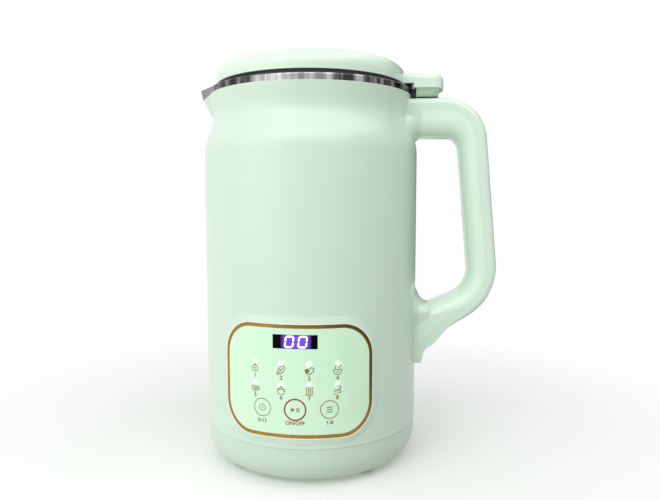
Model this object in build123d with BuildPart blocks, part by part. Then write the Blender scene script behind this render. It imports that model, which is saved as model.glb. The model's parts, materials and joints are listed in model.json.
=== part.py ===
from build123d import *
import os
from math import cos, radians, sin, sqrt, tan

# Soy milk maker: a jug with a steel cup, a motor and heater under it, a lift-off lid and a loop handle.
# Frame: the body's axis is Z, Z = 0 is the surface it stands on, the handle points to +X,
# the spout to -X and the control panel to -Y. Millimetres.

os.makedirs("parts", exist_ok=True)

# Clearances
seat_gap = 0.3  # between pieces of different bodies
fit_gap = 0.1  # between pieces fixed together
running_gap = 0.04  # radial, round a turning shaft
air_gap = 0.6  # radial, between armature and pole shoes
overrun = 2.0  # how far a cut runs past what it cuts

# Body shell
body_radius = 65.0
base_seam_height = 22.5
shoulder_drop = 34.6  # of the shoulder's start below the shell's top
shell_top_height = 218.6
neck_drop = 13.6  # of the neck below the shell's top
neck_inset = 5.5  # of the neck inside the body's radius
rim_inset = 3.5
shell_wall = 2.5
shoulder_shares = (0.42, 0.51)  # inwards and upwards, from the shoulder's start to the neck
flare_share = 0.15  # outward lean of the wall at the rim
tongue_height = 2.0
seam_round = 0.6

# Spout
spout_opening = 125.0  # degrees between its two sides, seen from above
spout_length = 6.9  # of the shell's nose beyond the rim
spout_depth = 18.6  # of its root below the shell's top
spout_root_inset = 1.5  # of its root inside the neck's face
spout_nose_radius = 7.0
spout_root_corner_inset = 7.5  # of the V's two ends inside the neck's face
lip_length = 1.6  # of the steel lip beyond the shell's nose
lip_rise = 2.5  # above the rim
lip_rise_length = 15.5

# Base
base_step = 0.5  # how far the base stands back from the body
base_wall_length = 6.0  # upright part of its wall
base_curve_width = 11.0
base_underside_height = 2.0
base_wall = 2.5
spigot_height = 4.5
spigot_wall = 2.0
foot_inset = 7.5  # inside the base's flat
foot_width = 6.0
foot_groove_depth = 1.0
foot_round = 0.6
vent_inner_radius = 13.0
vent_length = 18.0
vent_width = 3.0
vent_count = 12
base_boss_inset = 10.5  # of the bosses' axes inside the shell's wall
base_boss_radius = 4.8
base_boss_length = 13.0
base_boss_rib = 2.5
base_screw_count = 4
base_screw_recess = 3.5
base_screw_radius = 1.7
base_screw_length = 22.0
base_screw_head_radius = 3.2
base_screw_head_height = 2.2

# Cup
cup_gap = 1.0  # between the cup and the shell's neck
cup_sheet = 0.8
cup_corner_radius = 8.0
rim_band_height = 3.7
rim_channel_depth = 2.5
rim_round = 0.7

# Heater
heater_plate_thickness = 5.0
heater_inner_radius = 16.0
heater_inset = 1.0  # inside the cup's flat floor
heater_coil_inset = 11.5
heater_tube_radius = 3.2
heater_open_angle = 40.0
heater_terminal_angle = 4.0
heater_terminal_length = 6.0
heater_terminal_radius = 1.6
sensor_circle_share = 0.4615  # from the plate's inner edge to the tube's ring
sensor_radius = 3.0
sensor_length = 12.0
sensor_angle = 60.0
cutout_circle_share = 0.3333
cutout_radius = 6.3
cutout_height = 5.0
cutout_angle = 200.0

# Shaft seal housing through the cup's floor
housing_flange_radius = 14.0
housing_flange_height = 3.0
housing_neck_radius = 9.0
housing_length = 17.0
housing_nut_radius = 12.5
housing_nut_height = 4.5
gasket_thickness = 0.8
seal_radius = 7.5
seal_height = 5.5

# Motor plate and its fixings
stud_inset = 4.5  # of their axes inside the heater plate's edge
stud_radius = 2.0
stud_count = 3
spacer_radius = 3.5
spacer_length = 10.5
motor_plate_thickness = 2.5
motor_plate_margin = 4.5  # beyond the studs' axes
motor_plate_hole_radius = 15.0
stud_nut_radius = 3.9
stud_nut_height = 3.2
bracket_screw_circle = 25.5
bracket_screw_count = 4
bracket_screw_radius = 1.9
bracket_screw_head_radius = 3.4
bracket_screw_head_height = 2.4
bush_radius = 5.0
bush_height = 2.5

# Motor
motor_radius = 31.0
bracket_thickness = 2.0
bearing_cup_wall = 2.0
upper_bearing_radius = 11.0
upper_bearing_width = 7.0
lower_bearing_radius = 9.5
lower_bearing_width = 6.0
shaft_radius = 4.0
lower_shaft_radius = 3.0
armature_radius = 16.5
armature_slot_count = 11
armature_slot_width = 3.0
armature_slot_depth = 5.0
stack_length = 22.0
upper_leg_length = 11.5
lower_leg_length = 20.0
leg_width = 12.0
leg_thickness = 3.5
pole_shoe_thickness = 3.0
pole_shoe_span = 110.0
pole_neck_width = 10.0
yoke_width = 5.0
field_coil_width = 5.6
field_coil_overhang = 6.0
winding_overhang = 3.5
winding_inner_radius = 5.0
winding_outer_radius = 14.5
commutator_gap = 1.0
commutator_radius = 10.0
commutator_length = 11.0
commutator_bar_count = 22
commutator_slot = 0.5
brush_width = 5.0
brush_length = 13.0
brush_box_length = 13.5
brush_box_gap = 1.5  # between the commutator and the brush boxes
brush_box_wall = 1.4
through_bolt_circle = 28.4
through_bolt_radius = 1.6
through_bolt_head_radius = 3.0
through_bolt_head_height = 2.0
fan_radius = 27.0
fan_hub_radius = 6.0
fan_height = 7.0
fan_disc_thickness = 1.2
fan_blade_count = 9
fan_blade_thickness = 1.2
fan_gap = 1.0
shaft_end_gap = 2.5  # between the shaft and the base cover's floor

# Blades
blade_step_height = 2.6  # shaft shoulder above the seal housing
blade_thickness = 1.4
blade_width = 11.0
blade_tip_width = 3.0
blade_hub_radius = 7.0
lower_blade_span = 24.0
lower_blade_tip_rise = 3.0
upper_blade_span = 21.0
upper_blade_tip_rise = 8.0
blade_spacer_radius = 5.5
blade_spacer_length = 4.0
blade_nut_radius = 5.2
blade_nut_height = 6.5
blade_tail_radius = 3.0

# Handle
handle_width = 26.0
arm_drop = 2.1  # of the arm's top below the shell's top
arm_depth = 22.7
arm_bend_radius = 26.0
grip_lean = 0.09  # how far the grip leans outwards for each unit down
grip_stand_off = 47.0  # of the grip's foot from the body
grip_foot_height = 120.0
tail_stand_off = 4.0
tail_height = 57.0
tail_width = 19.0
tail_taper_length = 35.0
tail_sweep_shares = ((0.874, 0.638), (0.674, 0.494), (0.449, 0.398), (0.251, 0.273), (0.067, 0.116))
loop_top_radius = 7.5
loop_foot_radius = 16.0
grip_depth = 15.0  # from the loop to the grip's foot
loop_foot_drop = 15.6  # below the grip's foot
lower_arm_slope = 0.44
grip_round_radius = 9.5
cover_round_radius = 3.5
cover_depth = 7.0
handle_joint_length = 2.0  # of the root stubs beyond the body
root_flare_length = 13.0
root_flare_width = 8.0
arm_flare_width = 4.0
root_flare_rise = 32.0
arm_flare_drop = 16.0
# From the arm towards the body: length, width and height of the flare
root_flare_shares = ((0.0, 0.0, 0.0), (0.46, 0.1, 0.14), (0.77, 0.4, 0.55), (1.0, 1.0, 1.0))
handle_screw_radius = 1.8
handle_screw_head_radius = 3.4
handle_screw_head_height = 1.8
handle_screw_length = 14.0
handle_screw_spacing = 13.0
upper_screw_rise = 5.7  # above the arm's underside
lower_screw_rise = 29.0  # above the handle's tail

# Control panel, widths are measured along the curve
panel_width = 87.0
panel_height = 61.4
panel_rise = 6.9  # above the base seam
panel_corner_radius = 18.0
panel_stand_proud = 1.0
panel_thickness = 1.8
panel_ledge = 5.0
panel_bevel = 4.2
panel_land = 0.6  # flat edge between the bevel and the panel
trim_width = 1.9
trim_depth = 0.8
trim_stand_proud = 0.12
display_width = 24.2
display_height = 7.6
display_share = 0.8518  # of the panel's height, to the display's middle
module_width = 23.0
module_height = 9.0
module_depth = 7.5
board_inset = 8.5  # of the board's face inside the shell's wall
board_width = 60.0
board_edge = 2.75  # beyond the screws' axes
board_thickness = 1.6
board_boss_radius = 3.0
board_screw_radius = 1.2
board_screw_head_radius = 2.4
board_screw_head_height = 1.5
board_screw_length = 5.0
board_screw_spacing = 52.0
lower_board_screw_rise = 1.85  # above the panel's lower edge
upper_board_screw_rise = 0.45  # above its upper edge
icon_spacing = 15.2
icon_column_count = 4
light_row_shares = (0.4756, 0.6612)  # of the panel's height
light_pipe_radius = 1.5
light_plate_thickness = 1.5
light_gap = 1.2
key_spacing = 18.5
key_share = 0.254  # of the panel's height
key_count = 3
touch_pad_radius = 4.0

# Power board, on the handle's side
power_board_inset = 12.5
relay_size = (15.0, 15.0, 19.0)
capacitor_radius = 5.0
capacitor_length = 13.0
component_inset = 2.0  # from the board's edges
transformer_size = (14.0, 18.0, 16.0)

# Mains inlet, at the back
inlet_width = 30.0
inlet_height = 22.0
inlet_depth = 24.0
inlet_mouth_width = 24.5
inlet_mouth_height = 16.5
inlet_mouth_depth = 16.0
inlet_mouth_bevel = 4.0
inlet_centre_height = 46.0
inlet_sleeve_wall = 2.5
inlet_sleeve_depth = 12.0
pin_thickness = 2.0
pin_width = 4.0
pin_length = 14.5
pin_tail_length = 6.0
pin_spacing = 14.0
earth_pin_rise = 4.0

# Lid
lid_gap = 3.0  # between the steel rim and the lid's edge
lid_inset = 4.2  # of the lid's edge inside the rim
lid_bulge = 0.4
lid_bulge_height = 3.3  # above the lid's edge
lid_rise = 18.1  # of the dome's top above the lid's edge
lid_wall = 2.2
dome_shares = (0.75, 0.66)  # a point of the dome: outwards and upwards
liner_thickness = 1.6
liner_skirt_inset = 2.7  # inside the cup
liner_skirt_wall = 2.0
liner_skirt_depth = 8.0
lid_seal_inset = 0.9  # inside the lid's edge
lid_seal_lip_depth = 5.0
vent_cap_radius = 15.0
vent_cap_thickness = 1.2
vent_hole_radius = 0.8
vent_hole_circle = 2.4
vent_hole_count = 5
vent_tube_radius = 5.0
vent_tube_wall = 1.2
probe_radius = 2.0
probe_reach = 30.0
probe_length = 20.0
probe_head_radius = 4.0
probe_head_height = 2.0

# Lid's tab over the handle
tab_length = 22.9  # beyond the lid's edge
tab_width = 24.0
tab_rise = 6.2  # of its top above the lid's edge
tab_drop = 2.8  # of its underside below the lid's edge
tab_slope = 0.07
tab_end_radius = 8.0
tab_round = 3.0
block_stand_off = 2.5  # from the rim
block_end_inset = 1.6  # inside the tab's end
block_inset = 1.4
block_taper_angle = 25.0
block_gap = 1.0  # between the block and the handle
coupler_inset = 3.0
coupler_thickness = 0.6
coupler_pin_radius = 0.8
coupler_pin_length = 4.5
coupler_pin_spacing = 4.0
coupler_pin_count = 3
socket_depth = 5.0

# Worked-out sizes of the body
neck_radius = body_radius - neck_inset
rim_radius = body_radius - rim_inset
shell_inner_radius = body_radius - shell_wall
neck_height = shell_top_height - neck_drop
shoulder_height = shell_top_height - shoulder_drop
rim_top_height = shell_top_height + rim_band_height
spout_reach = rim_radius + spout_length
spout_root_height = shell_top_height - spout_depth
spout_root_reach = neck_radius - spout_root_inset
spout_root_corner_radius = neck_radius - spout_root_corner_inset
lip_reach = spout_reach + lip_length
lip_height = rim_top_height + lip_rise
base_radius = body_radius - base_step
base_flat_radius = base_radius - base_curve_width
base_wall_height = base_seam_height - base_wall_length
base_floor_top = base_underside_height + base_wall
base_screw_seat = base_underside_height + base_screw_recess
base_boss_circle = shell_inner_radius - base_boss_inset
foot_outer_radius = base_flat_radius - foot_inset
foot_inner_radius = foot_outer_radius - foot_width

# Worked-out heights and radii of cup, heater and motor, stacked from the base cover's floor upwards
fan_bottom = base_floor_top + shaft_end_gap + fan_gap
fan_top = fan_bottom + fan_height
lower_disc_bottom = fan_top + fan_gap + lower_bearing_width
lower_disc_top = lower_disc_bottom + bracket_thickness
stack_bottom = lower_disc_top + lower_leg_length
stack_top = stack_bottom + stack_length
upper_disc_bottom = stack_top + upper_leg_length
motor_top = upper_disc_bottom + bracket_thickness
motor_plate_bottom = motor_top + bush_height
motor_plate_top = motor_plate_bottom + motor_plate_thickness
heater_bottom = motor_plate_top + spacer_length
cup_floor_height = heater_bottom + heater_plate_thickness
cup_radius = neck_radius - shell_wall - cup_gap
cup_inner_radius = cup_radius - cup_sheet
cup_floor_top = cup_floor_height + cup_sheet
heater_outer_radius = cup_radius - cup_corner_radius - heater_inset
heater_coil_radius = heater_outer_radius - heater_coil_inset
heater_band = heater_coil_radius - heater_inner_radius
sensor_circle = heater_inner_radius + sensor_circle_share * heater_band
cutout_circle = heater_inner_radius + cutout_circle_share * heater_band
stud_circle = heater_outer_radius - stud_inset
motor_plate_radius = stud_circle + motor_plate_margin
housing_flange_bottom = cup_floor_top + gasket_thickness
housing_top = housing_flange_bottom + housing_flange_height
housing_bottom = housing_top - housing_length
bore_radius = armature_radius + air_gap
blade_seat_height = housing_top + blade_step_height
upper_blade_seat = blade_seat_height + blade_thickness + blade_spacer_length
blade_nut_seat = upper_blade_seat + blade_thickness
commutator_bottom = stack_bottom - winding_overhang - commutator_gap - commutator_length
brush_height = commutator_bottom + commutator_length / 2
field_coil_start = bore_radius + pole_shoe_thickness + seat_gap
field_coil_half_width = pole_neck_width / 2 + fit_gap + field_coil_width
field_coil_end = sqrt((motor_radius - yoke_width - seat_gap) ** 2 - field_coil_half_width**2)

# Worked-out sizes of panel, boards and inlet
panel_radius = body_radius + panel_stand_proud
panel_back_radius = panel_radius - panel_thickness
panel_bottom_height = base_seam_height + panel_rise
panel_centre_height = panel_bottom_height + panel_height / 2
display_centre_height = panel_bottom_height + display_share * panel_height
light_heights = [panel_bottom_height + share * panel_height for share in light_row_shares]
light_centre_height = sum(light_heights) / 2
key_height = panel_bottom_height + key_share * panel_height
board_offset = shell_inner_radius - board_inset
power_board_offset = shell_inner_radius - power_board_inset
board_screw_heights = (
    panel_bottom_height + lower_board_screw_rise,
    panel_bottom_height + panel_height + upper_board_screw_rise,
)
board_bottom_height = board_screw_heights[0] - board_edge
board_top_height = board_screw_heights[1] + board_edge
board_centre_height = (board_bottom_height + board_top_height) / 2
inlet_face = sqrt(body_radius**2 - (inlet_width / 2) ** 2) - seat_gap
inlet_back = inlet_face - inlet_depth
trim_radius = panel_radius + trim_stand_proud

# Worked-out sizes of the lid and of the handle it plugs into
lid_edge_height = rim_top_height + lid_gap
lid_top_height = lid_edge_height + lid_rise
lid_edge_radius = rim_radius - lid_inset
lid_bulge_radius = lid_edge_radius + lid_bulge
liner_skirt_radius = cup_inner_radius - liner_skirt_inset
lid_seal_flange_radius = lid_edge_radius - lid_seal_inset
tab_reach = lid_edge_radius + tab_length
tab_bottom = lid_edge_height - tab_drop
tab_top = lid_edge_height + tab_rise
block_inner_reach = rim_radius + block_stand_off
block_outer_reach = tab_reach - block_end_inset
arm_top_height = shell_top_height - arm_drop
arm_underside_height = arm_top_height - arm_depth
grip_foot_reach = body_radius + grip_stand_off
tail_reach = body_radius + tail_stand_off
block_bottom = arm_top_height + block_gap
coupler_bottom = block_bottom - coupler_thickness
vent_seat_height = lid_top_height - vent_cap_thickness
liner_top = lid_edge_height + liner_thickness

# Planes of the two boards, facing the wall
control_board_plane = Plane.XZ.offset(board_offset)
power_board_plane = Plane.YZ.offset(power_board_offset)

# Places of repeated pieces
base_screw_places = PolarLocations(base_boss_circle, base_screw_count, 180 / base_screw_count)
stud_places = PolarLocations(stud_circle, stud_count, 90)
bracket_screw_places = PolarLocations(
    bracket_screw_circle, bracket_screw_count, 180 / bracket_screw_count
)
through_bolt_places = PolarLocations(through_bolt_circle, 2, 90)
leg_places = PolarLocations(motor_radius - leg_thickness / 2, 2)
sensor_place = PolarLocations(sensor_circle, 1, sensor_angle)
cutout_place = PolarLocations(cutout_circle, 1, cutout_angle)
board_screw_places = Locations(
    *[
        (side * board_screw_spacing / 2, height)
        for side in (-1, 1)
        for height in board_screw_heights
    ]
)
probe_place = Locations((0, probe_reach))
light_places = [
    (panel_radius * sin((column - (icon_column_count - 1) / 2) * icon_spacing / panel_radius), height)
    for height in light_heights
    for column in range(icon_column_count)
]
key_places = [
    (panel_radius * sin((column - (key_count - 1) / 2) * key_spacing / panel_radius), key_height)
    for column in range(key_count)
]
pin_places = [
    (-pin_spacing / 2, inlet_centre_height),
    (pin_spacing / 2, inlet_centre_height),
    (0, inlet_centre_height + earth_pin_rise),
]


def ring(inner_radius, outer_radius, bottom, top, places=None, mode=Mode.ADD):
    """A round tube, or a disc where the inner radius is zero, at each of the places."""
    with BuildSketch(Plane.XY.offset(bottom)) as outline:
        with places or Locations((0, 0)):
            Circle(outer_radius)
            if inner_radius > 0:
                Circle(inner_radius, mode=Mode.SUBTRACT)
    extrude(outline.sketch, amount=top - bottom, mode=mode)


def slab(size, corner, mode=Mode.ADD):
    """A rectangular block from its lowest corner."""
    with BuildSketch(Plane.XY.offset(corner[2])) as outline:
        with Locations((corner[0], corner[1])):
            Rectangle(size[0], size[1], align=(Align.MIN, Align.MIN))
    extrude(outline.sketch, amount=size[2], mode=mode)


def screws(plane, places, radius, length, head_radius, head_height):
    """Round-headed screws whose shanks run along the plane's normal from under their heads."""
    with BuildSketch(plane) as shanks:
        with places:
            Circle(radius)
    extrude(shanks.sketch, amount=length)
    with BuildSketch(plane) as heads:
        with places:
            Circle(head_radius)
    extrude(heads.sketch, amount=-head_height)


def save(piece, name):
    """Label a finished piece and write it."""
    piece.part.label = name
    export_step(piece.part, f"parts/{name}.step")


def body_side(inset):
    """The body's side line, from the base seam to the rim, at a depth inside its outer face."""
    start = (body_radius - inset, base_seam_height)
    shoulder = (body_radius - inset, shoulder_height)
    slope = (
        body_radius - inset - shoulder_shares[0] * (body_radius - neck_radius),
        shoulder_height + shoulder_shares[1] * (neck_height - shoulder_height),
    )
    neck = (neck_radius - inset, neck_height)
    rim = (rim_radius - inset, shell_top_height)
    with BuildLine() as side:
        Line(start, shoulder)
        Spline(shoulder, slope, neck, rim, tangents=((0, 1), (flare_share, 1)))
    return side.line


def body_fill(inset):
    """The solid inside the body's side line."""
    radius = body_radius - inset
    with BuildPart() as fill:
        with BuildSketch(Plane.XZ) as half:
            with BuildLine():
                add(body_side(inset))
                Polyline(
                    (rim_radius - inset, shell_top_height),
                    (0, shell_top_height),
                    (0, base_seam_height),
                    (radius, base_seam_height),
                )
            make_face()
        revolve(half.sketch, axis=Axis.Z)
    return fill.part


def spout_outline(height, reach, corner_radius, inset):
    """The spout's V, seen from above, with its nose rounded."""
    half_angle = radians(spout_opening / 2)
    nose_radius = spout_nose_radius - inset
    apex = reach - inset + nose_radius * (1 / sin(half_angle) - 1)
    corner = (
        -(corner_radius - inset) * sin(half_angle),
        (corner_radius - inset) * cos(half_angle),
    )
    with BuildSketch(Plane.XY.offset(height)) as outline:
        with BuildLine():
            Polyline((-apex, 0), corner, (corner[0], -corner[1]), close=True)
        make_face()
        fillet(outline.vertices().sort_by(Axis.X)[0], nose_radius)
    return outline.sketch


def spout_wedge(inset, over_lip=False):
    """The spout's wedge, from its root to the shell's top or on to the steel lip."""
    steps = [
        (spout_root_height, spout_root_reach, spout_root_corner_radius),
        (shell_top_height, spout_reach, rim_radius - fit_gap),
    ]
    if over_lip:
        steps.append((lip_height, lip_reach, rim_radius - fit_gap))
    outlines = [spout_outline(*step, inset) for step in steps]
    with BuildPart() as wedge:
        loft(outlines, ruled=True)
    return wedge.part


def tail_sweep():
    """The S-shaped lower part of the handle's outer line, from the grip's foot to the tail."""
    foot = (grip_foot_reach, grip_foot_height)
    tail = (tail_reach, tail_height)
    marks = [
        (
            tail_reach + out * (grip_foot_reach - tail_reach),
            tail_height + up * (grip_foot_height - tail_height),
        )
        for out, up in tail_sweep_shares
    ]
    with BuildLine() as sweep:
        Spline(foot, *marks, tail, tangents=((grip_lean, -1), (-grip_lean, -1)))
    return sweep.edges()[0]


def handle_line(depth):
    """The handle's line in side view, from inside the body to its tail, at a depth under its outside."""
    slant = sqrt(1 + grip_lean**2)
    top = arm_top_height - depth
    bend_reach = grip_foot_reach - grip_lean * (top - grip_foot_height) - depth * slant
    sweep = tail_sweep()
    steps = len(tail_sweep_shares) + 1
    marks = []
    for step in range(steps + 1):
        point = sweep @ (step / steps)
        along = sweep % (step / steps)
        marks.append((point.X + depth * along.Y, point.Y - depth * along.X))
    with BuildLine() as line:
        FilletPolyline(
            (handle_root_reach, top),
            (bend_reach, top),
            marks[0],
            radius=arm_bend_radius - depth,
        )
        Spline(*marks, tangents=((grip_lean, -1), (-grip_lean, -1)))
    return line.line


def loop_line():
    """The line round the finger loop in side view, from the upper arm to the lower."""
    with BuildLine() as line:
        FilletPolyline(
            (handle_root_reach, arm_underside_height),
            (loop_top_reach, arm_underside_height),
            (loop_foot_reach, loop_foot_height),
            (handle_root_reach, lower_arm_root_height),
            radius=[loop_top_radius, loop_foot_radius],
        )
    return line.line


def follows(edge, line):
    """Whether an edge at the handle's side runs along a line of its side view."""
    marks = [edge @ 0.25, edge @ 0.5, edge @ 0.75]
    beside = all(abs(mark.Y) > tail_width / 4 for mark in marks)
    return beside and all(line.distance_to(Vector(mark.X, 0, mark.Z)) < fit_gap for mark in marks)


def flare_outline(reach, half_width, flat_half_width, flat_height, wide_height, point_height):
    """One cross-section of a handle root: flat at one end, rounded to a point at the other."""
    up = 1 if point_height > flat_height else -1
    with BuildSketch(Plane.YZ.offset(reach)) as outline:
        with BuildLine():
            Spline(
                (flat_half_width, flat_height),
                (half_width, wide_height),
                (0, point_height),
                tangents=((0, up), (-1, 0)),
            )
            Spline(
                (0, point_height),
                (-half_width, wide_height),
                (-flat_half_width, flat_height),
                tangents=((-1, 0), (0, -up)),
            )
            Line((-flat_half_width, flat_height), (flat_half_width, flat_height))
        make_face()
    return outline.sketch


def panel_outline(margin):
    """The panel's rounded outline wrapped on its curve, seen from the front, with a margin added."""
    half_angle = (panel_width / 2 + margin) / panel_radius
    corner = panel_corner_radius + margin
    half_width = panel_radius * sin(half_angle)
    corner_width = half_width - panel_radius * sin(half_angle - corner / panel_radius)
    half_height = panel_height / 2 + margin
    with BuildSketch(Plane.XZ.offset(panel_radius + overrun)) as outline:
        with Locations((0, panel_centre_height)):
            Rectangle(2 * half_width, 2 * (half_height - corner))
            Rectangle(2 * (half_width - corner_width), 2 * half_height)
            with GridLocations(2 * (half_width - corner_width), 2 * (half_height - corner), 2, 2):
                Ellipse(corner_width, corner)
    return outline.sketch


def curved_plate(outline, inner_radius, outer_radius):
    """The part of a front-facing outline's extrusion that lies between two radii of the body."""
    with BuildPart() as plate:
        extrude(outline, amount=-panel_radius)
        with BuildSketch(Plane.XY) as band:
            Circle(outer_radius)
            Circle(inner_radius, mode=Mode.SUBTRACT)
        extrude(band.sketch, amount=shell_top_height, mode=Mode.INTERSECT)
    return plate.part


# Worked-out places of the handle
handle_root_reach = neck_radius - handle_width / 2
loop_foot_reach = grip_foot_reach - grip_depth
loop_foot_height = grip_foot_height - loop_foot_drop
tail_taper_height = tail_height + tail_taper_length
handle_joint_reach = body_radius + handle_joint_length
upper_screw_height = arm_underside_height + upper_screw_rise
lower_screw_height = tail_height + lower_screw_rise
loop_top_reach = loop_foot_reach - grip_lean * (arm_underside_height - loop_foot_height)
lower_arm_root_height = loop_foot_height - lower_arm_slope * (loop_foot_reach - handle_root_reach)
arm_seam_height = arm_top_height - cover_depth
socket_length = block_outer_reach - block_inner_reach - 2 * coupler_inset
socket_start_reach = block_inner_reach + coupler_inset
socket_width = tab_width - 2 * block_inset - 2 * coupler_inset
coupler_reach = socket_start_reach + socket_length / 2
coupler_pin_places = Locations(
    *[
        (coupler_reach, (pin - (coupler_pin_count - 1) / 2) * coupler_pin_spacing)
        for pin in range(coupler_pin_count)
    ]
)
upper_screw_seat = cup_radius + seat_gap + handle_screw_head_height
lower_screw_seat = sqrt(
    shell_inner_radius**2 - (handle_screw_spacing / 2 + handle_screw_head_radius + seat_gap) ** 2
)
handle_screw_rows = [
    (
        Plane.YZ.offset(seat),
        Locations((-handle_screw_spacing / 2, height), (handle_screw_spacing / 2, height)),
    )
    for seat, height in (
        (upper_screw_seat, upper_screw_height),
        (lower_screw_seat, lower_screw_height),
    )
]

# Whole handle, before it is divided into grip and cover
with BuildPart() as handle_block:
    with BuildSketch(Plane.XZ):
        with BuildLine():
            add(handle_line(0))
            Polyline(
                (tail_reach, tail_height),
                (handle_root_reach, tail_height),
                (handle_root_reach, lower_arm_root_height),
            )
            add(loop_line())
            Line(
                (handle_root_reach, arm_underside_height),
                (handle_root_reach, arm_top_height),
            )
        make_face()
    extrude(amount=handle_width / 2, both=True)
    around_loop = loop_line().moved(Plane.XZ.location)
    around_outside = handle_line(0).moved(Plane.XZ.location)
    fillet([edge for edge in handle_block.edges() if follows(edge, around_loop)], grip_round_radius)
    fillet(
        [edge for edge in handle_block.edges() if follows(edge, around_outside)],
        cover_round_radius,
    )
    with BuildSketch(Plane.YZ):
        with BuildLine():
            Polyline(
                (tail_width / 2, tail_height),
                (handle_width / 2, tail_taper_height),
                (handle_width / 2, arm_top_height + overrun),
                (-handle_width / 2, arm_top_height + overrun),
                (-handle_width / 2, tail_taper_height),
                (-tail_width / 2, tail_height),
                close=True,
            )
        make_face()
    extrude(amount=grip_foot_reach + cover_depth, mode=Mode.INTERSECT)

# Space inside the seam between grip and cover
seam_line = handle_line(cover_depth)
seam_end = seam_line.edges().sort_by(Axis.Y)[0] @ 1
with BuildPart() as inside_seam:
    with BuildSketch(Plane.XZ):
        with BuildLine():
            add(seam_line)
            Polyline(
                (seam_end.X, seam_end.Y),
                (seam_end.X, 0),
                (0, 0),
                (0, arm_seam_height),
                (handle_root_reach, arm_seam_height),
            )
        make_face()
    extrude(amount=handle_width, both=True)

# Flared root of the lower arm
lower_arm_joint_reach = body_radius - shell_wall * 2 + root_flare_length
lower_arm_top = loop_foot_height - lower_arm_slope * (loop_foot_reach - lower_arm_joint_reach)
with BuildPart() as lower_root:
    lower_sections = [
        flare_outline(
            lower_arm_joint_reach - along * root_flare_length,
            handle_width / 2 - seat_gap + wide * root_flare_width,
            tail_width / 2 - seat_gap,
            tail_height + (1 - high) * cover_depth,
            tail_taper_height,
            lower_arm_top + high * root_flare_rise,
        )
        for along, wide, high in root_flare_shares
    ]
    loft(lower_sections)

# Flared root of the upper arm
upper_arm_joint_reach = neck_radius - shell_wall + root_flare_length
with BuildPart() as upper_root:
    upper_sections = [
        flare_outline(
            upper_arm_joint_reach - along * root_flare_length,
            handle_width / 2 - seat_gap + wide * arm_flare_width,
            handle_width / 2 - seat_gap,
            arm_seam_height,
            arm_seam_height - cover_depth,
            arm_underside_height + seat_gap - high * arm_flare_drop,
        )
        for along, wide, high in root_flare_shares
    ]
    loft(upper_sections)

# Space on the body's side of the joint between shell and handle
with BuildPart() as root_side:
    ring(0, body_radius * 2, 0, lid_top_height)
    with BuildSketch(Plane.YZ.offset(handle_joint_reach)) as beyond:
        Rectangle(body_radius * 4, lid_top_height * 3)
    extrude(beyond.sketch, amount=body_radius * 2, mode=Mode.SUBTRACT)

# Handle cover, the strip along the handle's outside
with BuildPart() as handle_cover:
    add(handle_block.part)
    add(inside_seam.part, mode=Mode.SUBTRACT)
    add(body_fill(0), mode=Mode.SUBTRACT)
    with BuildSketch(Plane.XY.offset(tail_height)) as below_loop:
        with Locations((handle_joint_reach - body_radius, 0)):
            Rectangle(body_radius * 2, body_radius * 2)
    extrude(below_loop.sketch, amount=grip_foot_height - tail_height, mode=Mode.SUBTRACT)
    slab(
        (socket_length, socket_width, socket_depth + overrun),
        (socket_start_reach, -socket_width / 2, arm_top_height - socket_depth),
        mode=Mode.SUBTRACT,
    )
save(handle_cover, "handle_cover")

# Roots of the handle that are moulded with the shell
with BuildPart() as handle_roots:
    add(handle_block.part)
    add(lower_root.part)
    add(upper_root.part)
    add(root_side.part, mode=Mode.INTERSECT)
    add(handle_cover.part, mode=Mode.SUBTRACT)

# Handle grip, the half-round inner side of the handle
with BuildPart() as handle_grip:
    add(handle_block.part)
    add(lower_root.part)
    add(upper_root.part)
    add(inside_seam.part, mode=Mode.INTERSECT)
    add(root_side.part, mode=Mode.SUBTRACT)
    for seat_plane, row in handle_screw_rows:
        with BuildSketch(seat_plane) as screw_holes:
            with row:
                Circle(handle_screw_radius)
        extrude(screw_holes.sketch, amount=handle_screw_length, mode=Mode.SUBTRACT)
save(handle_grip, "handle_grip")

# Handle screws, driven from inside the shell
with BuildPart() as handle_screws:
    for seat_plane, row in handle_screw_rows:
        screws(
            seat_plane,
            row,
            handle_screw_radius,
            handle_screw_length,
            handle_screw_head_radius,
            handle_screw_head_height,
        )
save(handle_screws, "handle_screws")

# Outer shell with spout, handle roots, raised panel seat and inner bosses
with BuildPart() as rim_tongue:
    ring(
        rim_radius - shell_wall,
        rim_radius - cup_sheet - fit_gap,
        shell_top_height,
        shell_top_height + tongue_height,
    )
    add(spout_wedge(0, over_lip=True), mode=Mode.SUBTRACT)
with BuildPart() as panel_seat:
    add(curved_plate(panel_outline(panel_bevel), shell_inner_radius, panel_radius))
    seat_front = panel_seat.faces().filter_by(GeomType.CYLINDER).sort_by(Axis.Y)[0]
    chamfer(
        seat_front.edges(),
        length=panel_bevel - panel_land,
        length2=panel_stand_proud - fit_gap,
        reference=seat_front,
    )
with BuildPart() as wall_bosses:
    for board_plane in (control_board_plane, power_board_plane):
        with BuildSketch(board_plane) as posts:
            with board_screw_places:
                Circle(board_boss_radius)
        extrude(posts.sketch, amount=body_radius)
    with BuildSketch(Plane.XZ.offset(inlet_sleeve_depth - inlet_face)) as sleeve:
        with Locations((0, inlet_centre_height)):
            Rectangle(
                inlet_width + 2 * inlet_sleeve_wall,
                inlet_height + 2 * inlet_sleeve_wall,
            )
    extrude(sleeve.sketch, amount=-body_radius)
    with BuildSketch(Plane.XY) as inside_wall:
        Circle(body_radius - shell_wall / 2)
    extrude(inside_wall.sketch, amount=shoulder_height, mode=Mode.INTERSECT)
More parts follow.
